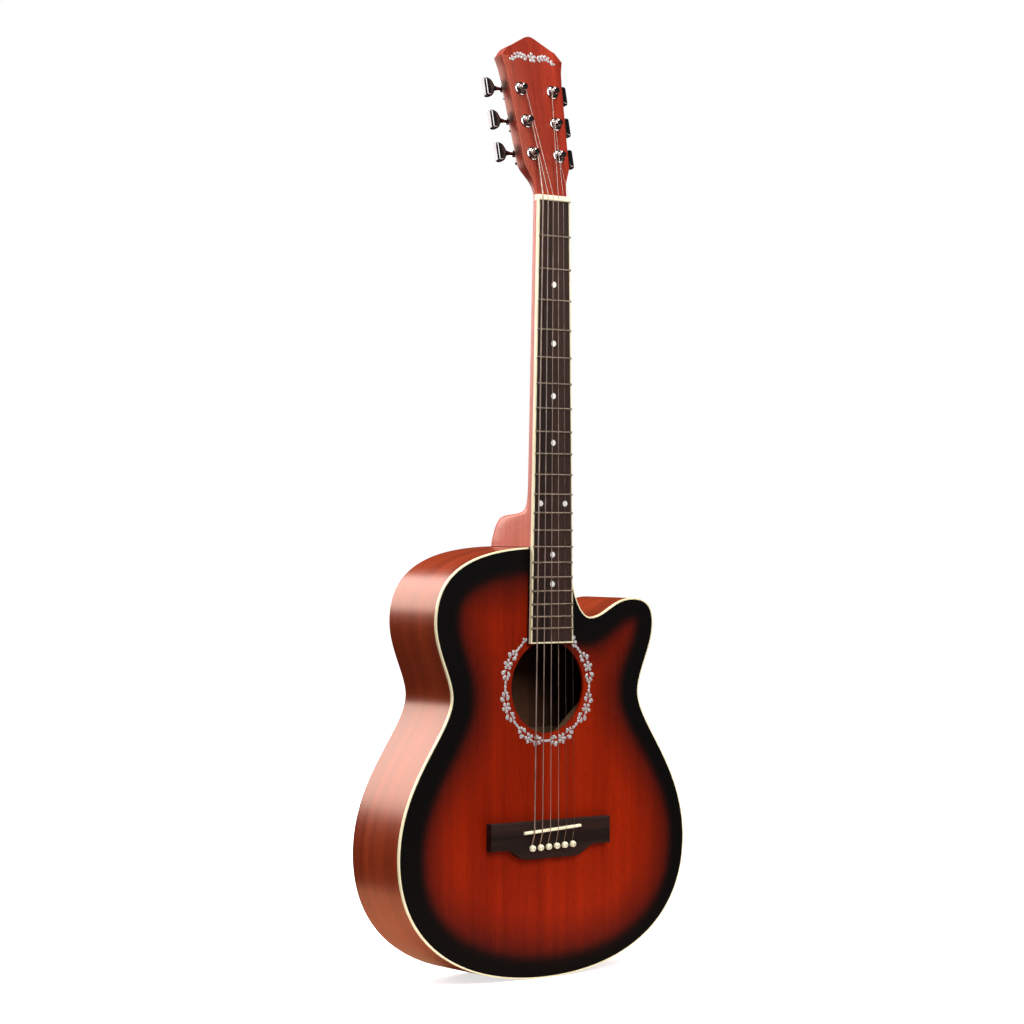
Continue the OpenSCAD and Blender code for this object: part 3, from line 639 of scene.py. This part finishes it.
def offset_ring(loop):
    """ring(d) for a plain closed loop, moving each corner inwards along its mitre."""
    loop = np.asarray(loop, dtype=float)
    before = loop - np.roll(loop, 1, axis=0)
    after = np.roll(loop, -1, axis=0) - loop
    before /= np.linalg.norm(before, axis=1)[:, None] + 1e-12
    after /= np.linalg.norm(after, axis=1)[:, None] + 1e-12
    area = np.sum(loop[:, 0] * np.roll(loop[:, 1], -1) - loop[:, 1] * np.roll(loop[:, 0], -1))
    sign = 1 if area > 0 else -1
    n1 = sign * np.stack([-before[:, 1], before[:, 0]], 1)
    n2 = sign * np.stack([-after[:, 1], after[:, 0]], 1)
    mitre = (n1 + n2) / np.maximum(1 + np.sum(n1 * n2, axis=1), 0.4)[:, None]
    return lambda d: loop + d * mitre


def lathe(shape, profile, place, sides=40, index=0, hollow=False):
    """A turned shape: profile is a list of (radius, height), and a hollow one closes on itself."""
    rows = []
    for r, h in profile:
        flat = circle(0, 0, r, sides)
        rows.append(np.c_[flat, np.full(sides, h)])
    shape.add(place(np.concatenate(rows)), grid_faces(len(profile), sides, wrap_rows=hollow), index)


def tube(shape, path, radius, place=place_body, sides=14, index=0):
    """A round rod along a list of points."""
    path = np.asarray(path, dtype=float)
    along = np.gradient(path, axis=0)
    along /= np.linalg.norm(along, axis=1)[:, None]
    side = np.cross(along[0], (0.9, 0.1, 0.2))
    rows = []
    for p, a in zip(path, along):
        side = side - a * (side @ a)
        side /= np.linalg.norm(side)
        up = np.cross(a, side)
        rows += [p + radius * (math.cos(t) * side + math.sin(t) * up)
                 for t in np.linspace(0, 2 * math.pi, sides, endpoint=False)]
    shape.add(place(np.array(rows)), grid_faces(len(path), sides), index)


def circle(x, z, r, n=64):
    a = np.linspace(0, 2 * math.pi, n, endpoint=False)
    return np.stack([x + r * np.cos(a), z + r * np.sin(a)], 1)


def smooth_line(points, steps=8):
    """Catmull-Rom curve through a list of points."""
    p = np.asarray(points, dtype=float)
    p = np.concatenate([[2 * p[0] - p[1]], p, [2 * p[-1] - p[-2]]])
    out = []
    for i in range(1, len(p) - 2):
        for k in range(steps):
            t = k / steps
            out.append(0.5 * (2 * p[i] + (p[i + 1] - p[i - 1]) * t
                              + (2 * p[i - 1] - 5 * p[i] + 4 * p[i + 1] - p[i + 2]) * t ** 2
                              + (3 * p[i] - p[i - 1] - 3 * p[i + 1] + p[i + 2]) * t ** 3))
    out.append(p[-2])
    return np.array(out)


# ---------- Body outline ----------
# Each station: x, z, heading in degrees, and the handle lengths before and after it
STATIONS = [
    (0, BODY_LEN, 180, 0, 87), (-144, 367, -90, 58, 29), (-123, 291, -90, 20, 35),
    (-LOWER_HALF, 133, -90, 78, 89), (0, 0, 0, 106, 106), (LOWER_HALF, 133, 90, 89, 78),
    (123, 291, 90, 35, 20), (143, 362, 90, 24, 22), (114, 389, 180, 16, 26), (57, 370, 180, 20, 15),
    (CUT_X, BODY_LEN, 90, 42, 0),
]
TAIL = 4
END = len(STATIONS) - 1


def outline(values, inset=0.0):
    """Points of the body's outline at station values, moved inwards."""
    out = []
    for u in values:
        i = min(int(u), END - 1)
        t = u - i
        ax, az, aa, _, reach = STATIONS[i]
        bx, bz, ba, back, _ = STATIONS[i + 1]
        p0, p3 = np.array([ax, az]), np.array([bx, bz])
        p1 = p0 + reach * np.array([math.cos(math.radians(aa)), math.sin(math.radians(aa))])
        p2 = p3 - back * np.array([math.cos(math.radians(ba)), math.sin(math.radians(ba))])
        s = 1 - t
        point = s ** 3 * p0 + 3 * t * s * s * p1 + 3 * t * t * s * p2 + t ** 3 * p3
        slope = s * s * (p1 - p0) + 2 * t * s * (p2 - p1) + t * t * (p3 - p2)
        if t == 0:
            slope = p1 - p0
        if t == 1:
            slope = p3 - p2 if back else p3 - p1
        out.append(point + inset * np.array([-slope[1], slope[0]]) / np.linalg.norm(slope))
    return np.array(out)


def body_ring(inset):
    """The closed outline, inset: its last stretch ends at the joint plane, inset too."""
    values = np.linspace(0, END, 36 * END + 1)
    loop = outline(values, inset)
    last = values > END - 1
    start = STATIONS[END - 1][1]
    share = np.clip((loop[last, 1] - start) / (BODY_LEN - start), 0, 1)
    loop[last, 1] -= inset * share ** 4
    return loop


def sweep(shape, path_of, section, index=0, closed=False):
    """Carries a closed section of (inset, depth) pairs along path_of(inset)."""
    base = path_of(0)
    run = np.concatenate([[0], np.cumsum(np.linalg.norm(np.diff(base, axis=0), axis=1))])
    columns, grain = [], []
    for inset, y in section:
        p = path_of(inset)
        columns.append(np.stack([p[:, 0], np.full(len(p), y), p[:, 1]], 1))
        grain.append(np.stack([np.full(len(p), y), np.full(len(p), inset), run], 1) * MM)
    rows = np.stack(columns, 1).reshape(-1, 3)
    shape.add(place_body(rows), grid_faces(len(base), len(section), wrap_rows=closed), index,
              np.stack(grain, 1).reshape(-1, 3))


def make_soundboard():
    shape = Shape()
    hole = circle(0, HOLE_Z, HOLE_R, 128)
    plate(shape, lambda d: body_ring(BIND_W + d), [hole], 0, TOP_T, 0, 0, 6, back_index=1)
    points = np.array(shape.points)
    flat = np.stack([points[:, 0], points[:, 2]], 1) / MM
    depth = distance_to(flat, body_ring(0)[::3])
    # The black edge widens at the shoulders and beside the end of the fretboard
    x, z = flat[:, 0], flat[:, 1]
    black = 20 - 5.5 * x / LOWER_HALF - 6 * np.clip(1 - z / 120, 0, 1)
    black += 3 * np.exp(-((z - 300) / 50) ** 2) * (x > 0)
    black += 12 * np.exp(-((x - 45) / 25) ** 2 - ((z - 362) / 25) ** 2)
    burst = 1 - np.interp(depth - black, [0, 3, 6, 10, 14, 20, 30, 50],
                          [0, 0.03, 0.1, 0.27, 0.39, 0.49, 0.7, 1])
    shape.make("soundboard_top", [TOP_WOOD, BARE_WOOD], "top_wood", replaces="soundboard", burst=burst)


def make_body():
    shape = Shape()
    rounded = arc_profile(0, TOP_T, 0.5, 0.5, 4)
    sweep(shape, body_ring, [*rounded, (BIND_W, TOP_T), (BIND_W, 0)], closed=True)
    shape.make("body_binding", CREAM, "cream_plastic", replaces="top_binding")

    join = CUT_X - SIDE_T

    def bass_path(d):
        return np.concatenate([[[join, BODY_LEN - d]], outline(np.linspace(0, TAIL, 200), d)])

    def treble_path(d):
        return outline(np.linspace(TAIL, END, 260), d)

    for side, path in (("bass", bass_path), ("treble", treble_path)):
        shape = Shape()
        sweep(shape, path, [(0, TOP_T), (0, INNER_Y), (SIDE_T, INNER_Y), (SIDE_T, TOP_T)])
        shape.make(f"{side}_side", SIDE_WOOD, "side_wood", replaces=f"side_{side}")

    shape = Shape()
    plate(shape, body_ring, [], INNER_Y, BODY_D, 0, 1.4, 12)
    for k, face in enumerate(shape.faces):
        if all(abs(shape.points[i][1] - FACE_Y - INNER_Y * MM) < 1e-6 for i in face):
            shape.indices[k] = 1
    shape.make("back_plate", [SIDE_WOOD, BARE_WOOD], "side_wood", replaces="back")


# ---------- Rosette and headstock ornament ----------
def petal(x, z, length, width, turn, blunt=0.5):
    """A drop-shaped petal from its foot at (x, z), as a closed loop."""
    out = []
    for k in range(14):
        a = 2 * math.pi * k / 14
        along = (1 - math.cos(a)) / 2
        across = math.sin(a) * (0.35 + blunt * along) * width / 1.2
        out.append((x + length * along * math.cos(turn) - across * math.sin(turn),
                    z + length * along * math.sin(turn) + across * math.cos(turn)))
    return np.array(out)


def inlay_drop(shape, loop, height, place):
    """A thin domed sliver of inlay standing just above the wood."""
    ring = offset_ring(loop)
    n = len(loop)
    low, high, crown = ring(0), ring(0.18), ring(0.45)
    rows = np.concatenate([np.c_[low, np.zeros(n)], np.c_[high, np.full(n, height * 0.7)],
                           np.c_[crown, np.full(n, height)]])
    shape.add(place(rows), grid_faces(3, n))


def on_face(p):
    """x, z and height above the soundboard."""
    return place_body(np.stack([p[:, 0], -p[:, 2], p[:, 1]], 1))


def flower(shape, x, z, size, turn, place, height):
    for k in range(5):
        a = turn + 2 * math.pi * k / 5
        inlay_drop(shape, petal(x + 0.7 * size * math.cos(a), z + 0.7 * size * math.sin(a), 3.1 * size,
                                2.3 * size, a), height, place)
    inlay_drop(shape, circle(x, z, 0.9 * size, 12), height * 1.2, place)


ROSETTE_R = 56
SPRIGS = 8
INLAY_H = 0.35
BOARD_CLEAR = 29.5
# Each leaf beside a flower: degrees from it, offset outwards, length, width and lean
LEAVES = [(6.6, 1.6, 6.6, 4.2, 0.85), (6.6, -1.3, 6.0, 3.9, 2.15), (11.0, 0.6, 5.6, 3.6, 1.2),
          (11.6, -1.8, 4.6, 3.1, 1.9)]


def make_rosette():
    """A wreath of flowers, with leaves on both sides of each, and small leaves between the sprigs."""
    shape = Shape()

    def spot(angle, offset):
        r = ROSETTE_R + offset
        return r * math.cos(angle), HOLE_Z + r * math.sin(angle)

    def leaf(angle, offset, length, width, turn, blunt=0.5):
        x, z = spot(angle, offset)
        # No leaf lies under the end of the fretboard
        if abs(x) > BOARD_CLEAR or z < HOLE_Z:
            inlay_drop(shape, petal(x, z, length, width, turn, blunt), INLAY_H, on_face)

    for k in range(SPRIGS):
        mid = math.radians(20 + 360 / SPRIGS * k)
        if k not in (1, 2):
            flower(shape, *spot(mid, 1.2), 1.55, mid, on_face, INLAY_H)
        for side in (-1, 1):
            for turn, offset, length, width, lean in LEAVES:
                angle = mid + side * math.radians(turn)
                leaf(angle, offset, length, width, angle + side * lean)
        for step in (-6.2, -1.9, 2.4):
            angle = mid + math.radians(180 / SPRIGS + step)
            leaf(angle, -0.4, 4.6, 3.7, angle + math.pi / 2 + 0.1, 0.3)
    bud = math.radians(122.5)
    for turn, length in ((bud + 1.2, 4.4), (bud - 1.2, 4.4), (bud, 4.8)):
        leaf(bud, -0.5, length, 2.4, turn)
    shape.make("rosette_inlay", SILVER_INLAY, "pearl", replaces="rosette")


def make_ornament():
    """A plain leaf spray on the headstock: a flower, with pairs of leaves on both sides."""
    shape = Shape()
    flower(shape, 0, 150, 1.5, math.pi / 2, place_head, 0.3)

    def leaf(side, x, t, length, width, lean):
        turn = lean if side > 0 else math.pi - lean
        inlay_drop(shape, petal(side * x, t, length, width, turn), 0.3, place_head)

    for side in (-1, 1):
        for k in range(5):
            t = 149.5 + 2.6 * math.sin(0.7 * k) - 0.22 * k * k
            leaf(side, 6.5 + 4.3 * k, t, 6.2 - 0.4 * k, 2.8, 0.62)
            leaf(side, 6.5 + 4.3 * k, t, 5.6 - 0.4 * k, 2.8, -0.62)
        leaf(side, 26, 146.6, 4.6, 2.2, -0.25)
    shape.make("head_ornament", SILVER_INLAY, "pearl")


# ---------- Neck and headstock ----------
# Height above the joint, depth behind the fretboard, and the section's power
NECK_RINGS = [
    (0, 77, 0.48), (6, 76, 0.48), (14, 73.5, 0.5), (21, 70, 0.5), (27, 65.5, 0.52), (30.5, 60, 0.55),
    (32.5, 50, 0.6), (33.5, 38, 0.65), (35, 28, 0.72), (38, 21.5, 0.85), (44, 18, 1), (55, 16.4, 1.08),
    (75, 15.6, 1.1), (200, 14.4, 1.12), (NUT_Z - BODY_LEN, 13, 1.12), (HEAD_Z - BODY_LEN, 13, 1.12),
]
RING_N = 40


def section(half, front, depth, rx, ry, power, bevel):
    """Half-round section: front edge, straight sides, and two elliptical back corners."""
    pts = [(half - bevel, front), (half - bevel * 0.3, front + bevel * 0.3), (half, front + bevel)]
    for k in range(RING_N + 1):
        a = math.pi / 2 * k / RING_N
        pts.append((half - rx + rx * math.cos(a) ** power, depth - ry + ry * math.sin(a) ** power))
    return pts + [(-x, y) for x, y in reversed(pts)]


def make_neck():
    shape = Shape()
    knots = np.array(NECK_RINGS)
    path = smooth_line(knots[:, :2], 6)
    powers = np.interp(np.linspace(0, len(knots) - 1, len(path)), range(len(knots)), knots[:, 2])
    rows = []
    for (up, depth), power in zip(path, powers):
        z = BODY_LEN + up
        half = board_half(min(z, NUT_Z)) - 0.2
        rows += [(x, y, z) for x, y in section(half, 0, depth, half, depth, power, 0.001)]
    columns = len(rows) // len(path)
    shape.add(place_body(np.array(rows)), grid_faces(len(path), columns))
    shape.make("neck_shaft", NECK_WOOD_LIT, "neck_wood", replaces="neck", angle=50)


# Half of the headstock's outline: distance from the nut against half width
HEAD_FLARE = [(0, 20.4), (8, 21.1), (15, 22.6), (22, 25.4), (28.5, 28.3), (35, 29.8), (44, 30.2)]
HEAD_TOP = [(123, 35.6), (138, 37.4), (149.2, 40.4), (158.6, 32), (161, 26.5), (171.4, 7), (172.8, 3.4),
            (173.2, 0.3)]


def head_half(t):
    flare = smooth_line(HEAD_FLARE, 6)
    if t <= HEAD_FLARE[-1][0]:
        return float(np.interp(t, flare[:, 0], flare[:, 1]))
    knots = np.array([HEAD_FLARE[-1], *HEAD_TOP])
    return float(np.interp(t, knots[:, 0], knots[:, 1]))


def blend(first, last, share):
    return first + (last - first) * share


def make_headstock():
    """A flat tilted plate, whose foot eases into the neck's round back."""
    shape = Shape()
    stops = [*np.linspace(0, 44, 30), *np.linspace(48, 120, 13), 123, 128, 133, 138, 143, 147, 148.6]
    stops += [149.2, 149.8, 152, 155, 157.6, 158.6, 159.6, 161, 162, 165, 168, 170.6, 171.4, 172.2, 172.8]
    stops += [173.1, 173.2]
    rows, grain = [], []
    for t in stops:
        half = head_half(t)
        ease = min(1.0, t / 40)
        ease = ease * ease * (3 - 2 * ease)
        depth = blend(15, HEAD_T, ease)
        rx = min(blend(20.4, 2.6, ease), half * 0.98)
        ry = blend(13, 2.6, ease)
        power = blend(1.12, 1, ease)
        lean = TILT * ease
        face_y, face_z = HEAD_Y + t * math.sin(TILT), HEAD_Z + t * math.cos(TILT)
        for x, y in section(half, 0, depth, rx, ry, power, 0.7):
            rows.append((x, face_y + y * math.cos(lean), face_z - y * math.sin(lean)))
            grain.append((x * MM, y * MM, t * MM))
    columns = len(rows) // len(stops)
    shape.add(place_body(np.array(rows)), grid_faces(len(stops), columns), 0, np.array(grain))
    shape.make("head_plate", HEAD_WOOD, "head_wood", replaces="headstock", angle=28)


def make_nut():
    """The nut: a bar with a rounded top and eased ends."""
    shape = Shape()
    half, top = NUT_W / 2, BOARD_T + 2.2
    profile = [(0, 0), (0, -top + 1.2), (0.35, -top + 0.35), (1.2, -top), (NUT_T - 2.6, -top + 0.35),
               (NUT_T - 0.9, -top + 1.2), (NUT_T, -top + 2.8), (NUT_T, 0)]
    xs = [-half, -half + 0.4, *np.linspace(-half + 0.8, half - 0.8, 30), half - 0.4, half]
    rows = []
    for x in xs:
        tuck = 0.4 if abs(x) == half else 0.0
        rows += [(x, y + (tuck if y < -1 else 0), NUT_Z + z) for z, y in profile]
    shape.add(place_body(np.array(rows)), grid_faces(len(xs), len(profile)))
    shape.make("nut_bar", BONE, "cream_plastic", replaces="nut", angle=30)


# ---------- Bridge ----------
BRIDGE_W = 28
PIN_SPREAD = 53
PIN_SLOPE = 1.4 / 53


def pin_x(i):
    return -PIN_SPREAD / 2 + i * PIN_SPREAD / 5


def pin_z(i):
    return BRIDGE_TOP_Z - 26.6 + pin_x(i) * PIN_SLOPE


def bridge_edge(x):
    """Lower edge of the bridge: it drops in an easy curve to the wide middle that holds the pins."""
    share = min(1, max(0, (BRIDGE_HALF - 20 - abs(x)) / 27))
    return BRIDGE_TOP_Z - BRIDGE_W - 10.7 * (1 - math.cos(math.pi * share)) / 2


def make_bridge():
    shape = Shape()
    xs = np.linspace(-BRIDGE_HALF, BRIDGE_HALF, 60)
    foot_z = BRIDGE_TOP_Z - BRIDGE_W
    lower = [(x, bridge_edge(x)) for x in xs]
    right = [(BRIDGE_HALF, z) for z in np.linspace(foot_z, BRIDGE_TOP_Z, 10)[1:-1]]
    top = [(x, BRIDGE_TOP_Z) for x in xs[::-1]]
    left = [(-BRIDGE_HALF, z) for z in np.linspace(BRIDGE_TOP_Z, foot_z, 10)[1:-1]]
    plate(shape, offset_ring(lower + right + top + left), [], -BRIDGE_T, 0, 0.9, 0, 4)
    # The bridge's grain runs across the guitar
    shape.grain = [point[::-1] for point in shape.points]
    shape.make("bridge_body", BRIDGE_WOOD, "dark_wood", replaces="bridge")


def make_saddle():
    """The saddle: a slanted bar with a rounded top that falls away at its ends."""
    shape = Shape()
    half_t, slant = 1.5, math.atan(SADDLE_RISE / SADDLE_LEN)
    crest = half_t - SADDLE_TOP
    arch = [(half_t * math.cos(a), crest - half_t * math.sin(a)) for a in np.linspace(0, math.pi, 9)]
    profile = [(half_t, -3), *arch, (-half_t, -3)]
    places = [-SADDLE_LEN / 2 + SADDLE_LEN * k / 24 for k in range(25)]
    rows = []
    for along in places:
        drop = 0.9 * (2 * along / SADDLE_LEN) ** 4
        for across, y in profile:
            rows.append((along * math.cos(slant) - across * math.sin(slant), y + (drop if y < -4 else 0),
                         SADDLE_Z + along * math.sin(slant) + across * math.cos(slant)))
    shape.add(place_body(np.array(rows)), grid_faces(len(places), len(profile)))
    shape.make("saddle_bar", BONE, "cream_plastic", replaces="saddle", angle=40)


def make_pins():
    """The bridge pins: turned, with a domed head and a small inlaid dot."""
    shape = Shape()
    head = -BRIDGE_T
    profile = [(0.9, 8), (2.3, 4), (2.5, head + 0.4), (2.9, head), (3.3, head - 0.9), (3.35, head - 2.2),
               (3.1, head - 3.3), (2.6, head - 4.1), (1.9, head - 4.65), (1.1, head - 4.95)]
    dot = [(1.1, head - 4.9), (1.0, head - 4.99), (0.5, head - 5)]
    for i in range(6):
        def place(p, x=pin_x(i), z=pin_z(i)):
            return place_body(np.stack([x + p[:, 0], p[:, 2], z + p[:, 1]], 1))

        lathe(shape, profile, place)
        lathe(shape, dot, place, 20, 1)
    shape.make("bridge_pin_set", [BONE, SILVER_INLAY], "cream_plastic", replaces="bridge_pins")


# ---------- Strings ----------
STRING_N = 3.6
NUT_SPREAD = 34


def side_of(i):
    return -1 if i < 3 else 1


def row_of(i):
    return i if i < 3 else 5 - i


def post_xt(i):
    """A post's place on the headstock: x, and the distance from the nut."""
    return side_of(i) * (POST_X + row_of(i) * POST_X_STEP), POST_T + row_of(i) * POST_PITCH


def head_point(x, t, n):
    return (place_head([(x, t, n)])[0] - np.array([0, FACE_Y, 0])) / MM


def string_path(i):
    """A string's route: from its pin over the saddle and the nut to the side of its post."""
    r = STRING_R[i]
    x = pin_x(i)
    pin_end = (x, 6, pin_z(i) + 2.5)
    pin_top = (x, -BRIDGE_T, pin_z(i) + 2.5)
    saddle = (x, -SADDLE_TOP - r, SADDLE_Z + x * SADDLE_RISE / SADDLE_LEN - 1.5)
    nut = (-NUT_SPREAD / 2 + i * NUT_SPREAD / 5, -BOARD_T - 1.5 - r, HEAD_Z)
    px, pt = post_xt(i)
    post = head_point(px - side_of(i) * (POST_R + r + 0.05), pt, STRING_N)
    return [pin_end, pin_top, saddle, nut, post]


def rounded_path(corners, reach=1.6, steps=5):
    """A path through corners, each turned on a short curve."""
    corners = [np.array(c, dtype=float) for c in corners]
    out = [corners[0]]
    for a, b, c in zip(corners, corners[1:], corners[2:]):
        p = b + (a - b) / np.linalg.norm(a - b) * reach
        q = b + (c - b) / np.linalg.norm(c - b) * reach
        for k in range(steps + 1):
            t = k / steps
            out.append((1 - t) ** 2 * p + 2 * t * (1 - t) * b + t * t * q)
    out.append(corners[-1])
    return out


def make_strings():
    wound, plain = Shape(), Shape()
    for i in range(6):
        tube(wound if i < WOUND else plain, rounded_path(string_path(i)), STRING_R[i])
    wound.make("wound_set", BRONZE_STRING, "bronze_string", replaces="wound_strings")
    plain.make("plain_set", STEEL_STRING, "steel_string", replaces="plain_strings")


# ---------- Tuning machines ----------
# Distance from a post to the inner end of its button
BUTTON_IN = ends("button_6", X)[0] - post_xt(5)[0]
# Half of a button's outline: distance from its inner end against half height
BUTTON_EDGE = [(0, 2.0), (0.9, 4.1), (2.4, 6.8), (4.4, 8.9), (7, 10), (9.4, 10.3), (11.2, 9.9), (12.0, 8.7),
               (12.2, 6.5), (12.2, 2.2)]
BUTTON_HALF_T = 3.8
HOUSING_D = 9


def at_post(i):
    """A place function for (x, t, height) about a post's axis."""
    px, pt = post_xt(i)
    return lambda p: place_head(np.stack([px + p[:, 0], pt + p[:, 1], p[:, 2]], 1))


def along_shaft(i, start):
    """A place function for a shape turned on a button's shaft, from a distance beside its post."""
    px, pt = post_xt(i)
    side = side_of(i)
    px += side * start
    pt += WORM_T
    return lambda p: place_head(np.stack([px + side * p[:, 2], pt + p[:, 0], GEAR_N + p[:, 1]], 1))


def arc(x, z, r, first, last, steps):
    """Points of a circle's arc between two angles in quarter turns."""
    turns = [math.pi / 2 * (first + (last - first) * k / steps) for k in range(steps + 1)]
    return [(x + r * math.cos(a), z + r * math.sin(a)) for a in turns]


def make_housings():
    """Closed die-cast housings with a round nose for the shaft, and a screw lug."""
    shape = Shape()
    body = []
    for quarter, (x, z) in enumerate(((4.6, 6.4), (-5.5, 6.4), (-5.5, -3.0), (4.6, -3.0))):
        body += arc(x, z, 3, quarter, quarter + 1, 6)
    lug = [*arc(-6.5, -9.5, 3, 2, 4, 12), (-3.5, -5.2), (-8.5, -5.2)]
    nose = [(3.0, 6.6), (3.4, 7.6), (3.4, 10.4), (3.1, 11.1), (2.5, 11.4), (2.1, 11.45)]
    back = HEAD_T + 0.02
    for i in range(6):
        def behind(p, xt=post_xt(i), side=side_of(i)):
            return place_head(np.stack([xt[0] + side * p[:, 0], xt[1] + p[:, 2], -p[:, 1]], 1))

        plate(shape, offset_ring(body), [], back, HEAD_T + HOUSING_D, 0, 2.4, 2.5, behind)
        plate(shape, offset_ring(lug), [], back, HEAD_T + 2.4, 0, 0.5, None, behind, steps=3)
        lathe(shape, nose, along_shaft(i, 0), 32)
    shape.make("housing_set", SMOKY_CHROME, "smoky_chrome", replaces="tuner_housings", angle=40)


def make_bushings():
    shape = Shape()
    washer = [(3.05, 0), (7.0, 0), (7.25, 0.35), (7.1, 0.8), (6.5, 1.1), (5.9, 1.1), (5.6, 1.3), (5.35, 2.2),
              (4.9, 2.6), (4.2, 2.7), (3.3, 2.5), (3.08, 2.1)]
    for i in range(6):
        lathe(shape, washer, at_post(i), 48, hollow=True)
    shape.make("ferrules", CHROME, "chrome", replaces="tuner_bushings", angle=30)


def make_post(i):
    shape = Shape()
    profile = [(2.0, -HEAD_T - 7.8), (2.0, GEAR_N + 1), (POST_R, GEAR_N + 1), (POST_R, 1.9), (2.75, 2.8),
               (2.7, 4.8), (2.9, 6.2), (3.15, 7.2), (3.4, 8.0), (3.35, 8.5), (2.9, 8.9), (2.0, 9.0)]
    lathe(shape, profile, at_post(i))
    body = f"post_{i + 1}"
    shape.make(f"{body}_turned", CHROME, "chrome", body=body, replaces=body)


def make_coil(i):
    """The string's turns round its post, and the short end that sticks out of the post's hole."""
    px, pt = post_xt(i)
    side = side_of(i)
    r = STRING_R[i]
    turns = 3.2 if i < WOUND else 4.5
    count = int(turns * 20)
    start = math.pi if side > 0 else 0.0
    ring = POST_R - 0.2 + r
    coil = []
    for k in range(count + 1):
        a = start - side * 2 * math.pi * turns * k / count
        n = STRING_N + 0.5 - k / count * (turns - 1.4) * 2.05 * r
        coil.append((px + ring * math.cos(a), pt + ring * math.sin(a), n))
    stub = [(px - side * 2, pt - 2, STRING_N + 1), (px - side, pt + 3.5, STRING_N + 1.1),
            (px, pt + 5.2, STRING_N + 1.4)]
    shape = Shape()
    tube(shape, coil, r, place_head, 10)
    tube(shape, stub, r, place_head, 10)
    mat, slot = (BRONZE_STRING, "bronze_string") if i < WOUND else (STEEL_STRING, "steel_string")
    shape.make(f"coil_{i + 1}", mat, slot, body=f"post_{i + 1}")


def make_button(i):
    """A flat cast button with rounded rims, on a turned collar."""
    shape = Shape()
    px, pt = post_xt(i)
    side = side_of(i)
    upper = smooth_line(BUTTON_EDGE, 5)
    loop = np.concatenate([upper, (upper * (1, -1))[::-1]])

    def flat(p):
        x = px + side * BUTTON_IN + side * p[:, 0]
        return place_head(np.stack([x, pt + WORM_T + p[:, 2], GEAR_N - p[:, 1]], 1))

    collar = [(2.05, -3.2), (2.4, -2.8), (2.4, -1.9), (2.7, -1.2), (3.1, 0.8), (2.0, 1.5)]
    plate(shape, offset_ring(loop), [], -BUTTON_HALF_T, BUTTON_HALF_T, 2.4, 2.4, 3, flat, steps=6)
    lathe(shape, collar, along_shaft(i, BUTTON_IN), 32)
    body = f"button_{i + 1}"
    shape.make(f"{body}_cast", SMOKY_CHROME, "smoky_chrome", body=body, replaces=body, angle=40)


def make_machines():
    make_bushings()
    for i in range(6):
        make_post(i)
        make_coil(i)
        make_button(i)
    make_housings()


# ---------- Materials of the CAD nodes that stay ----------
def finish_nodes():
    finishes = {
        "top_linings": SHADED_SPRUCE, "back_linings": SHADED_SPRUCE, "neck_block": BLOCK_WOOD, "tail_block": BLOCK_WOOD,
        "x_brace_bass": SHADED_SPRUCE, "x_brace_treble": SHADED_SPRUCE, "transverse_brace": SHADED_SPRUCE, "tone_bars": SHADED_SPRUCE,
        "finger_braces": SHADED_SPRUCE, "back_braces": SHADED_SPRUCE, "back_strip": SHADED_SPRUCE, "bridge_plate": BLOCK_WOOD,
        "fretboard": ROSEWOOD, "fretboard_binding": BOARD_EDGE, "frets": FRET_METAL, "position_dots": PEARL,
        "truss_rod": STEEL, "truss_rod_nut": BRASS, "ball_ends": BRASS, "tuner_screws": CHROME,
    }
    for i in range(1, 7):
        finishes[f"gear_{i}"] = BRASS
        finishes[f"worm_{i}"] = CHROME
    for name, mat in finishes.items():
        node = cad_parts[name]
        for place in node.material_slots:
            place.material = mat


make_soundboard()
make_body()
make_rosette()
make_neck()
make_headstock()
make_ornament()
make_nut()
make_bridge()
make_saddle()
make_pins()
make_strings()
make_machines()
finish_nodes()

bpy.context.scene.view_settings.view_transform = "Standard"
